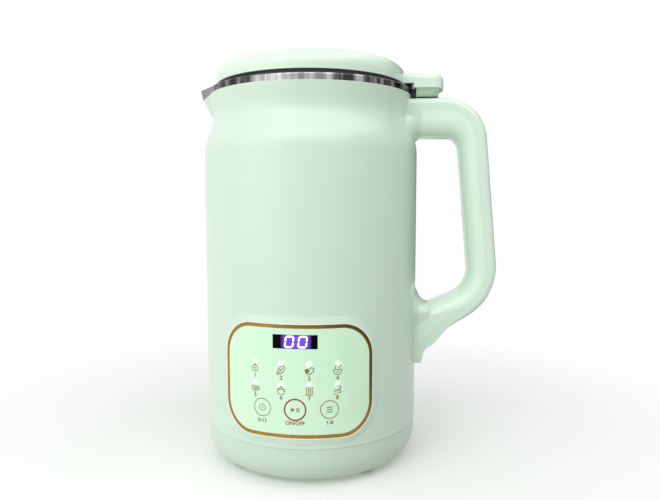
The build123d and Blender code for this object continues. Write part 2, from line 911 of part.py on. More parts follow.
with BuildPart() as outer_shell:
    add(body_fill(0))
    add(spout_wedge(0))
    add(handle_roots.part)
    add(panel_seat.part)
    add(body_fill(shell_wall), mode=Mode.SUBTRACT)
    add(spout_wedge(shell_wall), mode=Mode.SUBTRACT)
    add(rim_tongue.part)
    seam_edges = outer_shell.edges().filter_by(GeomType.CIRCLE).group_by(Axis.Z)[0]
    fillet(seam_edges.sort_by(SortBy.RADIUS)[-1], seam_round)
    # Recess and window behind the control panel
    add(
        curved_plate(panel_outline(fit_gap), panel_back_radius - fit_gap, body_radius * 2),
        mode=Mode.SUBTRACT,
    )
    extrude(panel_outline(-panel_ledge), amount=-panel_radius, mode=Mode.SUBTRACT)
    # Bosses and sleeve on the inside of the wall, with their holes
    add(wall_bosses.part)
    for board_plane in (control_board_plane, power_board_plane):
        with BuildSketch(board_plane) as board_holes:
            with board_screw_places:
                Circle(board_screw_radius)
        extrude(
            board_holes.sketch,
            amount=board_screw_length - board_thickness,
            mode=Mode.SUBTRACT,
        )
    with BuildSketch(Plane.XZ.offset(inlet_sleeve_depth - inlet_face)) as sleeve_hole:
        with Locations((0, inlet_centre_height)):
            Rectangle(inlet_width + 2 * fit_gap, inlet_height + 2 * fit_gap)
    extrude(sleeve_hole.sketch, amount=-inlet_sleeve_depth - shell_wall * 2, mode=Mode.SUBTRACT)
    # Bosses for the base screws, each with a rib to the wall
    rib_bottom = base_seam_height + spigot_height + overrun
    rib_length = shell_inner_radius - base_boss_circle + shell_wall / 2
    ring(
        0,
        base_boss_radius,
        base_seam_height,
        base_seam_height + base_boss_length,
        base_screw_places,
    )
    with BuildSketch(Plane.XY.offset(rib_bottom)) as ribs:
        with PolarLocations(
            base_boss_circle + rib_length / 2,
            base_screw_count,
            180 / base_screw_count,
        ):
            Rectangle(rib_length, base_boss_rib)
    extrude(ribs.sketch, amount=base_seam_height + base_boss_length - rib_bottom)
    ring(
        0,
        base_screw_radius,
        base_seam_height,
        base_screw_seat + base_screw_length,
        base_screw_places,
        mode=Mode.SUBTRACT,
    )
    # Screw holes into the handle, each with a flat seat for its screw's head
    for seat_plane, row in handle_screw_rows:
        with BuildSketch(seat_plane) as screw_holes:
            with row:
                Circle(handle_screw_radius + fit_gap)
        extrude(screw_holes.sketch, amount=handle_screw_length, mode=Mode.SUBTRACT)
        with BuildSketch(seat_plane) as head_seats:
            with row:
                Circle(handle_screw_head_radius + fit_gap)
        extrude(head_seats.sketch, amount=-overrun, mode=Mode.SUBTRACT)
save(outer_shell, "outer_shell")

# Base cover with its spigot, screw tubes, foot groove and cooling slots
with BuildPart() as base_cover:
    with BuildSketch(Plane.XZ) as base_half:
        with BuildLine():
            Polyline(
                (0, base_seam_height),
                (base_radius, base_seam_height),
                (base_radius, base_wall_height),
            )
            EllipticalCenterArc(
                (base_flat_radius, base_wall_height),
                base_radius - base_flat_radius,
                base_wall_height - base_underside_height,
                start_angle=270,
                arc_size=90,
            )
            Polyline(
                (base_flat_radius, base_underside_height),
                (0, base_underside_height),
                (0, base_seam_height),
            )
        make_face()
    revolve(base_half.sketch, axis=Axis.Z)
    with BuildSketch(Plane.XZ) as hollow_half:
        with BuildLine():
            Polyline(
                (0, base_seam_height),
                (base_radius - base_wall, base_seam_height),
                (base_radius - base_wall, base_wall_height),
            )
            EllipticalCenterArc(
                (base_flat_radius, base_wall_height),
                base_radius - base_flat_radius - base_wall,
                base_wall_height - base_floor_top,
                start_angle=270,
                arc_size=90,
            )
            Polyline(
                (base_flat_radius, base_floor_top),
                (0, base_floor_top),
                (0, base_seam_height),
            )
        make_face()
    revolve(hollow_half.sketch, axis=Axis.Z, mode=Mode.SUBTRACT)
    ring(
        shell_inner_radius - fit_gap - spigot_wall,
        shell_inner_radius - fit_gap,
        base_wall_height,
        base_seam_height + spigot_height,
    )
    ring(0, base_boss_radius, base_underside_height + foot_groove_depth, base_seam_height, base_screw_places)
    ring(
        0,
        base_screw_head_radius + fit_gap,
        0,
        base_screw_seat,
        base_screw_places,
        mode=Mode.SUBTRACT,
    )
    ring(
        0,
        base_screw_radius + fit_gap,
        0,
        base_seam_height + overrun,
        base_screw_places,
        mode=Mode.SUBTRACT,
    )
    ring(
        foot_inner_radius - fit_gap,
        foot_outer_radius + fit_gap,
        0,
        base_underside_height + foot_groove_depth,
        mode=Mode.SUBTRACT,
    )
    with BuildSketch() as slots:
        with PolarLocations(vent_inner_radius + vent_length / 2, vent_count):
            SlotOverall(vent_length, vent_width)
    extrude(slots.sketch, amount=base_floor_top + overrun, mode=Mode.SUBTRACT)
save(base_cover, "base_cover")

# Rubber foot ring
with BuildPart() as foot_ring:
    ring(foot_inner_radius, foot_outer_radius, 0, base_underside_height + foot_groove_depth)
    fillet(foot_ring.edges().group_by(Axis.Z)[0], foot_round)
save(foot_ring, "foot_ring")

# Base screws
with BuildPart() as base_screws:
    screws(
        Plane.XY.offset(base_screw_seat),
        base_screw_places,
        base_screw_radius,
        base_screw_length,
        base_screw_head_radius,
        base_screw_head_height,
    )
save(base_screws, "base_screws")

# Steel cup with its hollow rim band and pouring lip
with BuildPart() as lip:
    add(spout_wedge(0, over_lip=True))
    ring(0, body_radius * 2, 0, shell_top_height, mode=Mode.SUBTRACT)
with BuildPart() as cup_hollow:
    ring(0, cup_inner_radius, cup_floor_top, lip_height + overrun)
    fillet(cup_hollow.edges().group_by(Axis.Z)[0], cup_corner_radius - cup_sheet)
with BuildPart() as inner_cup:
    ring(0, cup_radius, cup_floor_height, shell_top_height)
    fillet(inner_cup.edges().group_by(Axis.Z)[0], cup_corner_radius)
    ring(0, rim_radius, shell_top_height, rim_top_height)
    fillet(inner_cup.edges().group_by(Axis.Z)[-1], rim_round)
    ring(
        cup_radius,
        rim_radius - cup_sheet,
        shell_top_height,
        shell_top_height + rim_channel_depth,
        mode=Mode.SUBTRACT,
    )
    add(lip.part)
    add(spout_wedge(shell_wall + fit_gap))
    add(cup_hollow.part, mode=Mode.SUBTRACT)
    add(spout_wedge(shell_wall + fit_gap + cup_sheet, over_lip=True), mode=Mode.SUBTRACT)
    with BuildSketch(Plane.XZ) as above_lip:
        with BuildLine():
            Polyline(
                (0, rim_top_height),
                (lip_rise_length - lip_reach, rim_top_height),
                (-lip_reach, lip_height),
                (-lip_reach - overrun, lip_height + overrun),
                (0, lip_height + overrun),
                close=True,
            )
        make_face()
    extrude(above_lip.sketch, amount=body_radius, both=True, mode=Mode.SUBTRACT)
    ring(0, housing_neck_radius + fit_gap, cup_floor_height, cup_floor_top, mode=Mode.SUBTRACT)
save(inner_cup, "inner_cup")

# Cup gasket under the seal housing's flange
with BuildPart() as cup_gasket:
    ring(
        housing_neck_radius + fit_gap,
        housing_flange_radius - fit_gap,
        cup_floor_top,
        housing_flange_bottom,
    )
save(cup_gasket, "cup_gasket")

# Seal housing, the turned bush that carries the shaft through the cup's floor
with BuildPart() as seal_housing:
    ring(0, housing_flange_radius, housing_flange_bottom, housing_top)
    fillet(seal_housing.edges().group_by(Axis.Z)[-1], housing_flange_height / 2)
    ring(0, housing_neck_radius, housing_bottom, housing_flange_bottom)
    ring(0, shaft_radius + running_gap, housing_bottom, housing_top, mode=Mode.SUBTRACT)
    ring(0, seal_radius, housing_top - seal_height, housing_top, mode=Mode.SUBTRACT)
save(seal_housing, "seal_housing")

# Shaft seal pressed into the housing
with BuildPart() as shaft_seal:
    ring(shaft_radius + running_gap, seal_radius, housing_top - seal_height, housing_top)
    chamfer(
        shaft_seal.edges().group_by(Axis.Z)[-1].sort_by(SortBy.LENGTH)[0],
        seal_radius / 4,
    )
save(shaft_seal, "shaft_seal")

# Nut that clamps the housing to the cup's floor
with BuildPart() as housing_nut:
    with BuildSketch(Plane.XY.offset(cup_floor_height - housing_nut_height)):
        RegularPolygon(housing_nut_radius, 6, major_radius=False)
        Circle(housing_neck_radius, mode=Mode.SUBTRACT)
    extrude(amount=housing_nut_height)
save(housing_nut, "housing_nut")

# Heater plate with the groove of its tube and holes for studs and sensor
with BuildPart() as heater_plate:
    ring(heater_inner_radius, heater_outer_radius, heater_bottom, cup_floor_height)
    with BuildSketch(Plane.XZ) as groove:
        with Locations((heater_coil_radius, heater_bottom)):
            Circle(heater_tube_radius + fit_gap)
    revolve(groove.sketch, axis=Axis.Z, mode=Mode.SUBTRACT)
    ring(0, stud_radius + fit_gap, heater_bottom, cup_floor_height, stud_places, mode=Mode.SUBTRACT)
    ring(
        0,
        sensor_radius + fit_gap,
        heater_bottom,
        cup_floor_height,
        sensor_place,
        mode=Mode.SUBTRACT,
    )
save(heater_plate, "heater_plate")

# Heater tube, an open ring with two terminals
with BuildPart() as heater_tube:
    with BuildSketch(Plane.XZ) as tube_section:
        with Locations((heater_coil_radius, heater_bottom)):
            Circle(heater_tube_radius)
    revolve(tube_section.sketch, axis=Axis.Z, revolution_arc=360 - heater_open_angle)
    ring(
        0,
        heater_terminal_radius,
        heater_bottom - heater_tube_radius - heater_terminal_length,
        heater_bottom,
        PolarLocations(
            heater_coil_radius,
            2,
            heater_terminal_angle,
            360 - heater_open_angle - 2 * heater_terminal_angle,
            endpoint=True,
        ),
    )
save(heater_tube, "heater_tube")

# Temperature sensor, through the heater plate against the cup
with BuildPart() as temperature_sensor:
    ring(0, sensor_radius, cup_floor_height - sensor_length, cup_floor_height, sensor_place)
save(temperature_sensor, "temperature_sensor")

# Thermal cut-out clamped under the heater plate
with BuildPart() as thermal_cutout:
    ring(0, cutout_radius, heater_bottom - cutout_height, heater_bottom, cutout_place)
    chamfer(thermal_cutout.edges().group_by(Axis.Z)[0], cutout_height / 4)
save(thermal_cutout, "thermal_cutout")

# Studs under the cup, spacers and nuts that carry the motor plate
with BuildPart() as cup_studs:
    ring(
        0,
        stud_radius,
        motor_plate_bottom - stud_nut_height,
        cup_floor_height,
        stud_places,
    )
save(cup_studs, "cup_studs")
with BuildPart() as stud_spacers:
    ring(stud_radius + fit_gap, spacer_radius, motor_plate_top, heater_bottom, stud_places)
save(stud_spacers, "stud_spacers")
with BuildPart() as stud_nuts:
    with BuildSketch(Plane.XY.offset(motor_plate_bottom)):
        with stud_places:
            RegularPolygon(stud_nut_radius, 6, major_radius=False)
            Circle(stud_radius, mode=Mode.SUBTRACT)
    extrude(amount=-stud_nut_height)
save(stud_nuts, "stud_nuts")

# Motor plate
with BuildPart() as motor_plate:
    ring(motor_plate_hole_radius, motor_plate_radius, motor_plate_bottom, motor_plate_top)
    ring(
        0,
        stud_radius + fit_gap,
        motor_plate_bottom,
        motor_plate_top,
        stud_places,
        mode=Mode.SUBTRACT,
    )
    ring(
        0,
        bracket_screw_radius + fit_gap,
        motor_plate_bottom,
        motor_plate_top,
        bracket_screw_places,
        mode=Mode.SUBTRACT,
    )
save(motor_plate, "motor_plate")

# Rubber bushes between motor plate and motor
with BuildPart() as motor_bushes:
    ring(
        bracket_screw_radius + fit_gap,
        bush_radius,
        motor_top,
        motor_plate_bottom,
        bracket_screw_places,
    )
save(motor_bushes, "motor_bushes")

# Screws through plate and bushes into the motor's bracket
with BuildPart() as bracket_screws:
    screws(
        Plane.XY.offset(motor_plate_top).rotated((180, 0, 0)),
        bracket_screw_places,
        bracket_screw_radius,
        motor_plate_top - upper_disc_bottom,
        bracket_screw_head_radius,
        bracket_screw_head_height,
    )
save(bracket_screws, "bracket_screws")

# Motor brackets: a disc, a cup for the bearing and two legs that hold the stack
with BuildPart() as upper_bracket:
    ring(shaft_radius + overrun, motor_radius, upper_disc_bottom, motor_top)
    ring(
        upper_bearing_radius,
        upper_bearing_radius + bearing_cup_wall,
        upper_disc_bottom - upper_bearing_width,
        upper_disc_bottom,
    )
    with BuildSketch(Plane.XY.offset(stack_top)) as legs:
        with leg_places:
            Rectangle(leg_thickness, leg_width)
    extrude(legs.sketch, amount=upper_leg_length)
    ring(
        0,
        bracket_screw_radius,
        upper_disc_bottom,
        motor_top,
        bracket_screw_places,
        mode=Mode.SUBTRACT,
    )
    ring(
        0,
        through_bolt_radius + fit_gap,
        upper_disc_bottom,
        motor_top,
        through_bolt_places,
        mode=Mode.SUBTRACT,
    )
save(upper_bracket, "upper_bracket")
with BuildPart() as lower_bracket:
    ring(lower_shaft_radius + overrun, motor_radius, lower_disc_bottom, lower_disc_top)
    ring(
        lower_bearing_radius,
        lower_bearing_radius + bearing_cup_wall,
        lower_disc_bottom - lower_bearing_width,
        lower_disc_bottom,
    )
    with BuildSketch(Plane.XY.offset(lower_disc_top)) as legs:
        with leg_places:
            Rectangle(leg_thickness, leg_width)
    extrude(legs.sketch, amount=lower_leg_length)
    ring(
        0,
        through_bolt_radius + fit_gap,
        lower_disc_bottom,
        lower_disc_top,
        through_bolt_places,
        mode=Mode.SUBTRACT,
    )
save(lower_bracket, "lower_bracket")

# Bearings
with BuildPart() as upper_bearing:
    ring(
        shaft_radius + running_gap,
        upper_bearing_radius,
        upper_disc_bottom - upper_bearing_width,
        upper_disc_bottom,
    )
save(upper_bearing, "upper_bearing")
with BuildPart() as lower_bearing:
    ring(
        lower_shaft_radius + running_gap,
        lower_bearing_radius,
        lower_disc_bottom - lower_bearing_width,
        lower_disc_bottom,
    )
save(lower_bearing, "lower_bearing")

# Stator stack with two pole shoes
with BuildPart() as stator_core:
    with BuildSketch(Plane.XY.offset(stack_bottom)) as lamination:
        Circle(motor_radius)
        Circle(motor_radius - yoke_width, mode=Mode.SUBTRACT)
        with PolarLocations((bore_radius + motor_radius) / 2, 2):
            Rectangle(motor_radius - bore_radius - pole_shoe_thickness / 2, pole_neck_width)
        for side in (0, 180):
            with BuildLine():
                CenterArc((0, 0), bore_radius, side - pole_shoe_span / 2, pole_shoe_span)
                CenterArc(
                    (0, 0),
                    bore_radius + pole_shoe_thickness,
                    side - pole_shoe_span / 2,
                    pole_shoe_span,
                )
                for tip in (-pole_shoe_span / 2, pole_shoe_span / 2):
                    PolarLine(
                        (
                            bore_radius * cos(radians(side + tip)),
                            bore_radius * sin(radians(side + tip)),
                        ),
                        pole_shoe_thickness,
                        side + tip,
                    )
            make_face()
        Circle(bore_radius, mode=Mode.SUBTRACT)
        with through_bolt_places:
            Circle(through_bolt_radius + fit_gap, mode=Mode.SUBTRACT)
    extrude(lamination.sketch, amount=stack_length)
save(stator_core, "stator_core")

# Field coils round the two pole necks
with BuildPart() as field_coils:
    for side in (1, -1):
        with BuildSketch(Plane.YZ.offset(side * field_coil_start)) as turns:
            with Locations((0, (stack_bottom + stack_top) / 2)):
                RectangleRounded(
                    2 * field_coil_half_width,
                    stack_length + 2 * fit_gap + 2 * field_coil_overhang,
                    field_coil_width,
                )
                Rectangle(
                    pole_neck_width + 2 * fit_gap,
                    stack_length + 2 * fit_gap,
                    mode=Mode.SUBTRACT,
                )
        extrude(turns.sketch, amount=side * (field_coil_end - field_coil_start))
save(field_coils, "field_coils")

# Through bolts that hold the two brackets together
with BuildPart() as through_bolts:
    screws(
        Plane.XY.offset(lower_disc_bottom),
        through_bolt_places,
        through_bolt_radius,
        motor_top - lower_disc_bottom,
        through_bolt_head_radius,
        through_bolt_head_height,
    )
save(through_bolts, "through_bolts")

# Brush boxes on the lower bracket, and the brushes in them
brush_box_start = commutator_radius + brush_box_gap
brush_box_top = brush_height + brush_width / 2 + brush_box_wall
with BuildPart() as brush_boxes:
    for side in (1, -1):
        with BuildSketch(Plane.XY.offset(lower_disc_top)) as box:
            with Locations((0, side * (brush_box_start + brush_box_length / 2))):
                Rectangle(brush_width + 2 * brush_box_wall, brush_box_length)
        extrude(box.sketch, amount=brush_box_top - lower_disc_top)
    with BuildSketch(Plane.XZ.offset(-motor_radius)) as channel:
        with Locations((0, brush_height)):
            Rectangle(brush_width + 2 * fit_gap, brush_width + 2 * fit_gap)
    extrude(channel.sketch, amount=2 * motor_radius, mode=Mode.SUBTRACT)
save(brush_boxes, "brush_boxes")
with BuildPart() as carbon_brushes:
    for side in (1, -1):
        with BuildSketch(Plane.XY.offset(brush_height - brush_width / 2)) as brush:
            with Locations((0, side * (commutator_radius + seat_gap + brush_length / 2))):
                Rectangle(brush_width, brush_length)
        extrude(brush.sketch, amount=brush_width)
save(carbon_brushes, "carbon_brushes")

# Shaft from the fan to the blades
with BuildPart() as motor_shaft:
    ring(0, lower_shaft_radius, fan_bottom - fan_gap, stack_bottom)
    ring(0, shaft_radius, stack_bottom, blade_seat_height)
    ring(0, blade_tail_radius, blade_seat_height, blade_nut_seat + blade_nut_height / 2)
save(motor_shaft, "motor_shaft")

# Armature stack with its winding slots
with BuildPart() as armature_core:
    with BuildSketch(Plane.XY.offset(stack_bottom)) as lamination:
        Circle(armature_radius)
        with PolarLocations(armature_radius - armature_slot_depth / 2, armature_slot_count):
            Rectangle(armature_slot_depth + overrun, armature_slot_width, mode=Mode.SUBTRACT)
        Circle(shaft_radius, mode=Mode.SUBTRACT)
    extrude(lamination.sketch, amount=stack_length)
save(armature_core, "armature_core")

# Armature windings, the rounded end turns above and below the stack
with BuildPart() as armature_windings:
    for end, direction in ((stack_top, 1), (stack_bottom, -1)):
        ring(
            winding_inner_radius,
            winding_outer_radius,
            min(end, end + direction * winding_overhang),
            max(end, end + direction * winding_overhang),
        )
    far_ends = armature_windings.edges().group_by(Axis.Z)
    fillet(far_ends[0] + far_ends[-1], winding_overhang / 3)
save(armature_windings, "armature_windings")

# Commutator
with BuildPart() as commutator:
    with BuildSketch(Plane.XY.offset(commutator_bottom)) as bars:
        Circle(commutator_radius)
        with PolarLocations(commutator_radius, commutator_bar_count):
            Rectangle(commutator_slot * 2, commutator_slot, mode=Mode.SUBTRACT)
        Circle(lower_shaft_radius, mode=Mode.SUBTRACT)
    extrude(bars.sketch, amount=commutator_length)
save(commutator, "commutator")

# Cooling fan under the motor
with BuildPart() as cooling_fan:
    with BuildSketch(Plane.XY.offset(fan_bottom)) as vanes:
        with PolarLocations(fan_radius / 2, fan_blade_count):
            Rectangle(fan_radius - overrun, fan_blade_thickness)
    extrude(vanes.sketch, amount=fan_height)
    ring(0, fan_hub_radius, fan_bottom, fan_top)
    ring(0, fan_radius, fan_top - fan_disc_thickness, fan_top)
    ring(0, lower_shaft_radius, fan_bottom, fan_top, mode=Mode.SUBTRACT)
save(cooling_fan, "cooling_fan")


def blade(seat_height, span, tip_rise, turn):
    """A two-armed blade: flat at the hub, its tapered arms bent up or down towards their tips."""
    bend = blade_hub_radius * 2
    with BuildPart() as arms:
        with BuildSketch(Plane.XZ) as side:
            with BuildLine():
                Polyline(
                    (-span, seat_height + tip_rise),
                    (-bend, seat_height),
                    (bend, seat_height),
                    (span, seat_height + tip_rise),
                    (span, seat_height + tip_rise + blade_thickness),
                    (bend, seat_height + blade_thickness),
                    (-bend, seat_height + blade_thickness),
                    (-span, seat_height + tip_rise + blade_thickness),
                    close=True,
                )
            make_face()
        extrude(side.sketch, amount=blade_width, both=True)
        with BuildSketch(Plane.XY.offset(seat_height - span)) as plan:
            with BuildLine():
                Polyline(
                    (-span, -blade_width / 2),
                    (-span, blade_tip_width - blade_width / 2),
                    (-bend / 2, blade_width / 2),
                    (span, blade_width / 2),
                    (span, blade_width / 2 - blade_tip_width),
                    (bend / 2, -blade_width / 2),
                    close=True,
                )
            make_face()
            Circle(blade_hub_radius)
        extrude(plan.sketch, amount=span * 2, mode=Mode.INTERSECT)
        ring(
            0,
            blade_tail_radius,
            seat_height,
            seat_height + blade_thickness,
            mode=Mode.SUBTRACT,
        )
    return arms.part.rotate(Axis.Z, turn)


# Blades, their spacer and the domed nut
with BuildPart() as blade_lower:
    add(blade(blade_seat_height, lower_blade_span, -lower_blade_tip_rise, 0))
save(blade_lower, "blade_lower")
with BuildPart() as blade_spacer:
    ring(
        blade_tail_radius,
        blade_spacer_radius,
        blade_seat_height + blade_thickness,
        upper_blade_seat,
    )
save(blade_spacer, "blade_spacer")
with BuildPart() as blade_upper:
    add(blade(upper_blade_seat, upper_blade_span, upper_blade_tip_rise, 90))
save(blade_upper, "blade_upper")
with BuildPart() as blade_nut:
    with BuildSketch(Plane.XY.offset(blade_nut_seat)):
        RegularPolygon(blade_nut_radius, 6, major_radius=False)
    extrude(amount=blade_nut_height)
    fillet(blade_nut.faces().sort_by(Axis.Z)[-1].edges(), blade_nut_height / 3)
    ring(
        0,
        blade_tail_radius,
        blade_nut_seat,
        blade_nut_seat + blade_nut_height / 2,
        mode=Mode.SUBTRACT,
    )
save(blade_nut, "blade_nut")

# Control panel: a curved plate with a slot for the display and a groove for the metal trim
with BuildPart() as trim_band:
    add(curved_plate(panel_outline(0), panel_radius - trim_depth, trim_radius))
    add(
        curved_plate(panel_outline(-trim_width), panel_radius - trim_depth, trim_radius),
        mode=Mode.SUBTRACT,
    )
with BuildPart() as panel_trim:
    add(trim_band.part)
save(panel_trim, "panel_trim")
with BuildSketch(Plane.XZ.offset(panel_radius + overrun)) as display_outline:
    with Locations((0, display_centre_height)):
        Rectangle(display_width, display_height)
with BuildPart() as display_window:
    add(curved_plate(display_outline.sketch, panel_back_radius, panel_radius))
save(display_window, "display_window")
with BuildPart() as control_panel:
    add(curved_plate(panel_outline(0), panel_back_radius, panel_radius))
    add(trim_band.part, mode=Mode.SUBTRACT)
    extrude(display_outline.sketch, amount=-panel_radius, mode=Mode.SUBTRACT)
save(control_panel, "control_panel")

# Boards with their screws
for board_plane, name in ((control_board_plane, "control_board"), (power_board_plane, "power_board")):
    with BuildPart() as board:
        with BuildSketch(board_plane) as outline:
            with Locations((0, board_centre_height)):
                Rectangle(board_width, board_top_height - board_bottom_height)
            with board_screw_places:
                Circle(board_screw_radius + fit_gap, mode=Mode.SUBTRACT)
        extrude(outline.sketch, amount=-board_thickness)
    save(board, name)
with BuildPart() as board_screws:
    for board_plane in (control_board_plane, power_board_plane):
        screws(
            board_plane.offset(-board_thickness),
            board_screw_places,
            board_screw_radius,
            board_screw_length,
            board_screw_head_radius,
            board_screw_head_height,
        )
save(board_screws, "board_screws")

# Display module behind the window
with BuildPart() as display_module:
    with BuildSketch(control_board_plane) as module_outline:
        with Locations((0, display_centre_height)):
            Rectangle(module_width, module_height)
    extrude(module_outline.sketch, amount=module_depth)
save(display_module, "display_module")

# Light guide: a plate on the board with a pipe to each of the panel's lights
with BuildPart() as light_guide:
    with BuildSketch(control_board_plane.offset(light_gap)) as guide_plate:
        with Locations((0, light_centre_height)):
            Rectangle(
                light_places[-1][0] - light_places[0][0] + 4 * light_pipe_radius,
                light_heights[1] - light_heights[0] + 4 * light_pipe_radius,
            )
    extrude(guide_plate.sketch, amount=light_plate_thickness)
    with BuildSketch(control_board_plane.offset(light_gap)) as pipes:
        with Locations(*light_places):
            Circle(light_pipe_radius)
    extrude(pipes.sketch, amount=panel_back_radius)
    with BuildSketch(control_board_plane) as legs:
        with Locations(
            (light_places[0][0], light_centre_height),
            (light_places[-1][0], light_centre_height),
        ):
            Circle(light_pipe_radius)
    extrude(legs.sketch, amount=light_gap)
    with BuildSketch(Plane.XY) as behind_panel:
        Circle(panel_back_radius)
    extrude(behind_panel.sketch, amount=shell_top_height, mode=Mode.INTERSECT)
save(light_guide, "light_guide")

# Conductive pads between board and panel, one behind each key
with BuildPart() as touch_pads:
    with BuildSketch(control_board_plane) as pads:
        with Locations(*key_places):
            Circle(touch_pad_radius)
    extrude(pads.sketch, amount=panel_back_radius)
    with BuildSketch(Plane.XY) as behind_panel:
        Circle(panel_back_radius)
    extrude(behind_panel.sketch, amount=shell_top_height, mode=Mode.INTERSECT)
save(touch_pads, "touch_pads")

# Relay, transformer and capacitor on the power board
with BuildPart() as power_components:
    slab(
        relay_size,
        (
            power_board_offset - board_thickness - relay_size[0],
            board_width / 2 - relay_size[1] - component_inset,
            board_centre_height,
        ),
    )
    slab(
        transformer_size,
        (
            power_board_offset - board_thickness - transformer_size[0],
            component_inset - board_width / 2,
            board_centre_height,
        ),
    )
    with BuildSketch(power_board_plane.offset(-board_thickness)) as can:
        with Locations((board_width / 4, board_bottom_height + 2 * capacitor_radius)):
            Circle(capacitor_radius)
    extrude(can.sketch, amount=-capacitor_length)
save(power_components, "power_components")

# Mains inlet and its pins
with BuildPart() as inlet_housing:
    with BuildSketch(Plane.XZ.offset(-inlet_face)) as inlet_body:
        with Locations((0, inlet_centre_height)):
            Rectangle(inlet_width, inlet_height)
    extrude(inlet_body.sketch, amount=inlet_depth)
    with BuildSketch(Plane.XZ.offset(-inlet_face)) as mouth:
        with Locations((0, inlet_centre_height)):
            Rectangle(inlet_mouth_width, inlet_mouth_height)
        chamfer(mouth.vertices().group_by(Axis.Y)[-1], inlet_mouth_bevel)
    extrude(mouth.sketch, amount=inlet_mouth_depth, mode=Mode.SUBTRACT)
    with BuildSketch(Plane.XZ.offset(-inlet_face)) as pin_holes:
        with Locations(*pin_places):
            Rectangle(pin_thickness, pin_width)
    extrude(pin_holes.sketch, amount=inlet_depth, mode=Mode.SUBTRACT)
save(inlet_housing, "inlet_housing")
with BuildPart() as inlet_pins:
    with BuildSketch(Plane.XZ.offset(-inlet_back)) as pins:
        with Locations(*pin_places):
            Rectangle(pin_thickness, pin_width)
    extrude(pins.sketch, amount=-(inlet_depth - inlet_mouth_depth + pin_length))
    extrude(pins.sketch, amount=pin_tail_length)
save(inlet_pins, "inlet_pins")

# Coupler socket let into the top of the handle
with BuildPart() as coupler_socket:
    slab(
        (socket_length - 2 * fit_gap, socket_width - 2 * fit_gap, socket_depth),
        (
            socket_start_reach + fit_gap,
            fit_gap - socket_width / 2,
            arm_top_height - socket_depth,
        ),
    )
    with BuildSketch(Plane.XY.offset(arm_top_height)) as contacts:
        with coupler_pin_places:
            Circle(coupler_pin_radius + seat_gap)
    extrude(contacts.sketch, amount=-coupler_pin_length, mode=Mode.SUBTRACT)
save(coupler_socket, "coupler_socket")


def dome_half(inset):
    """Half of the lid's section inside its dome, at a depth under the outside."""
    bulge = (lid_bulge_radius - inset, lid_edge_height + lid_bulge_height)
    rise = lid_top_height - inset - bulge[1]
    with BuildSketch(Plane.XZ) as half:
        with BuildLine():
            Line((lid_edge_radius - inset, lid_edge_height), bulge)
            Spline(
                bulge,
                (dome_shares[0] * bulge[0], bulge[1] + dome_shares[1] * rise),
                (0, bulge[1] + rise),
                tangents=((0, 1), (-1, 0)),
            )
            Polyline(
                (0, bulge[1] + rise),
                (0, lid_edge_height),
                (lid_edge_radius - inset, lid_edge_height),
            )
        make_face()
    return half.sketch


def tab_outline(height, reach, inset):
    """The tab's outline seen from above, inset from its edge, from the given reach outwards."""
    with BuildSketch(Plane.XY.offset(height)) as outline:
        with Locations((reach, 0)):
            Rectangle(
                tab_reach - inset - reach,
                tab_width - 2 * inset,
                align=(Align.MIN, Align.CENTER),
            )
        fillet(outline.vertices().sort_by(Axis.X)[-2:], tab_end_radius - inset)
    return outline.sketch


# Lid cover with its tab over the handle
with BuildPart() as lid_cover:
    extrude(tab_outline(tab_bottom, 0, 0), amount=tab_rise + tab_drop)
    with BuildSketch(Plane.XZ) as above_tab:
        with BuildLine():
            Polyline(
                (0, tab_top + tab_slope * lid_edge_radius),
                (tab_reach, tab_top - tab_slope * (tab_reach - lid_edge_radius)),
                (tab_reach, lid_top_height),
                (0, lid_top_height),
                close=True,
            )
        make_face()
    extrude(above_tab.sketch, amount=tab_width, both=True, mode=Mode.SUBTRACT)
    fillet(lid_cover.faces().sort_by(Axis.Z)[-1].edges(), tab_round)
    ring(0, block_inner_reach - seat_gap, tab_bottom, lid_edge_height, mode=Mode.SUBTRACT)
    revolve(dome_half(0), axis=Axis.Z)
    revolve(dome_half(lid_wall), axis=Axis.Z, mode=Mode.SUBTRACT)
    ring(0, vent_cap_radius + fit_gap, vent_seat_height, lid_top_height, mode=Mode.SUBTRACT)
    ring(
        0,
        vent_tube_radius + fit_gap,
        lid_edge_height,
        lid_top_height,
        mode=Mode.SUBTRACT,
    )
save(lid_cover, "lid_cover")

# Block under the tab, drawn in towards its lower end, with the plate of the contact pins
with BuildPart() as tab_base:
    block_inset_below = block_inset + (tab_bottom - block_bottom) * tan(radians(block_taper_angle))
    loft(
        [
            tab_outline(tab_bottom, block_inner_reach, tab_reach - block_outer_reach),
            tab_outline(
                block_bottom,
                block_inner_reach,
                tab_reach - block_outer_reach + block_inset_below - block_inset,
            ),
        ],
        ruled=True,
    )
    slab(
        (socket_length, socket_width, coupler_thickness),
        (socket_start_reach, -socket_width / 2, coupler_bottom),
    )
save(tab_base, "tab_base")

# Contact pins under the tab
with BuildPart() as coupler_pins:
    with BuildSketch(Plane.XY.offset(coupler_bottom)) as pins:
        with coupler_pin_places:
            Circle(coupler_pin_radius)
    extrude(pins.sketch, amount=-coupler_pin_length)
save(coupler_pins, "coupler_pins")

# Inner plate of the lid with its skirt into the cup
with BuildPart() as lid_liner:
    ring(0, lid_edge_radius - lid_wall - fit_gap, lid_edge_height, liner_top)
    ring(
        liner_skirt_radius - liner_skirt_wall,
        liner_skirt_radius,
        lid_edge_height - liner_skirt_depth,
        lid_edge_height,
    )
    ring(0, vent_tube_radius + fit_gap, lid_edge_height, liner_top, mode=Mode.SUBTRACT)
    ring(
        0,
        probe_radius + fit_gap,
        lid_edge_height,
        liner_top,
        probe_place,
        mode=Mode.SUBTRACT,
    )
save(lid_liner, "lid_liner")

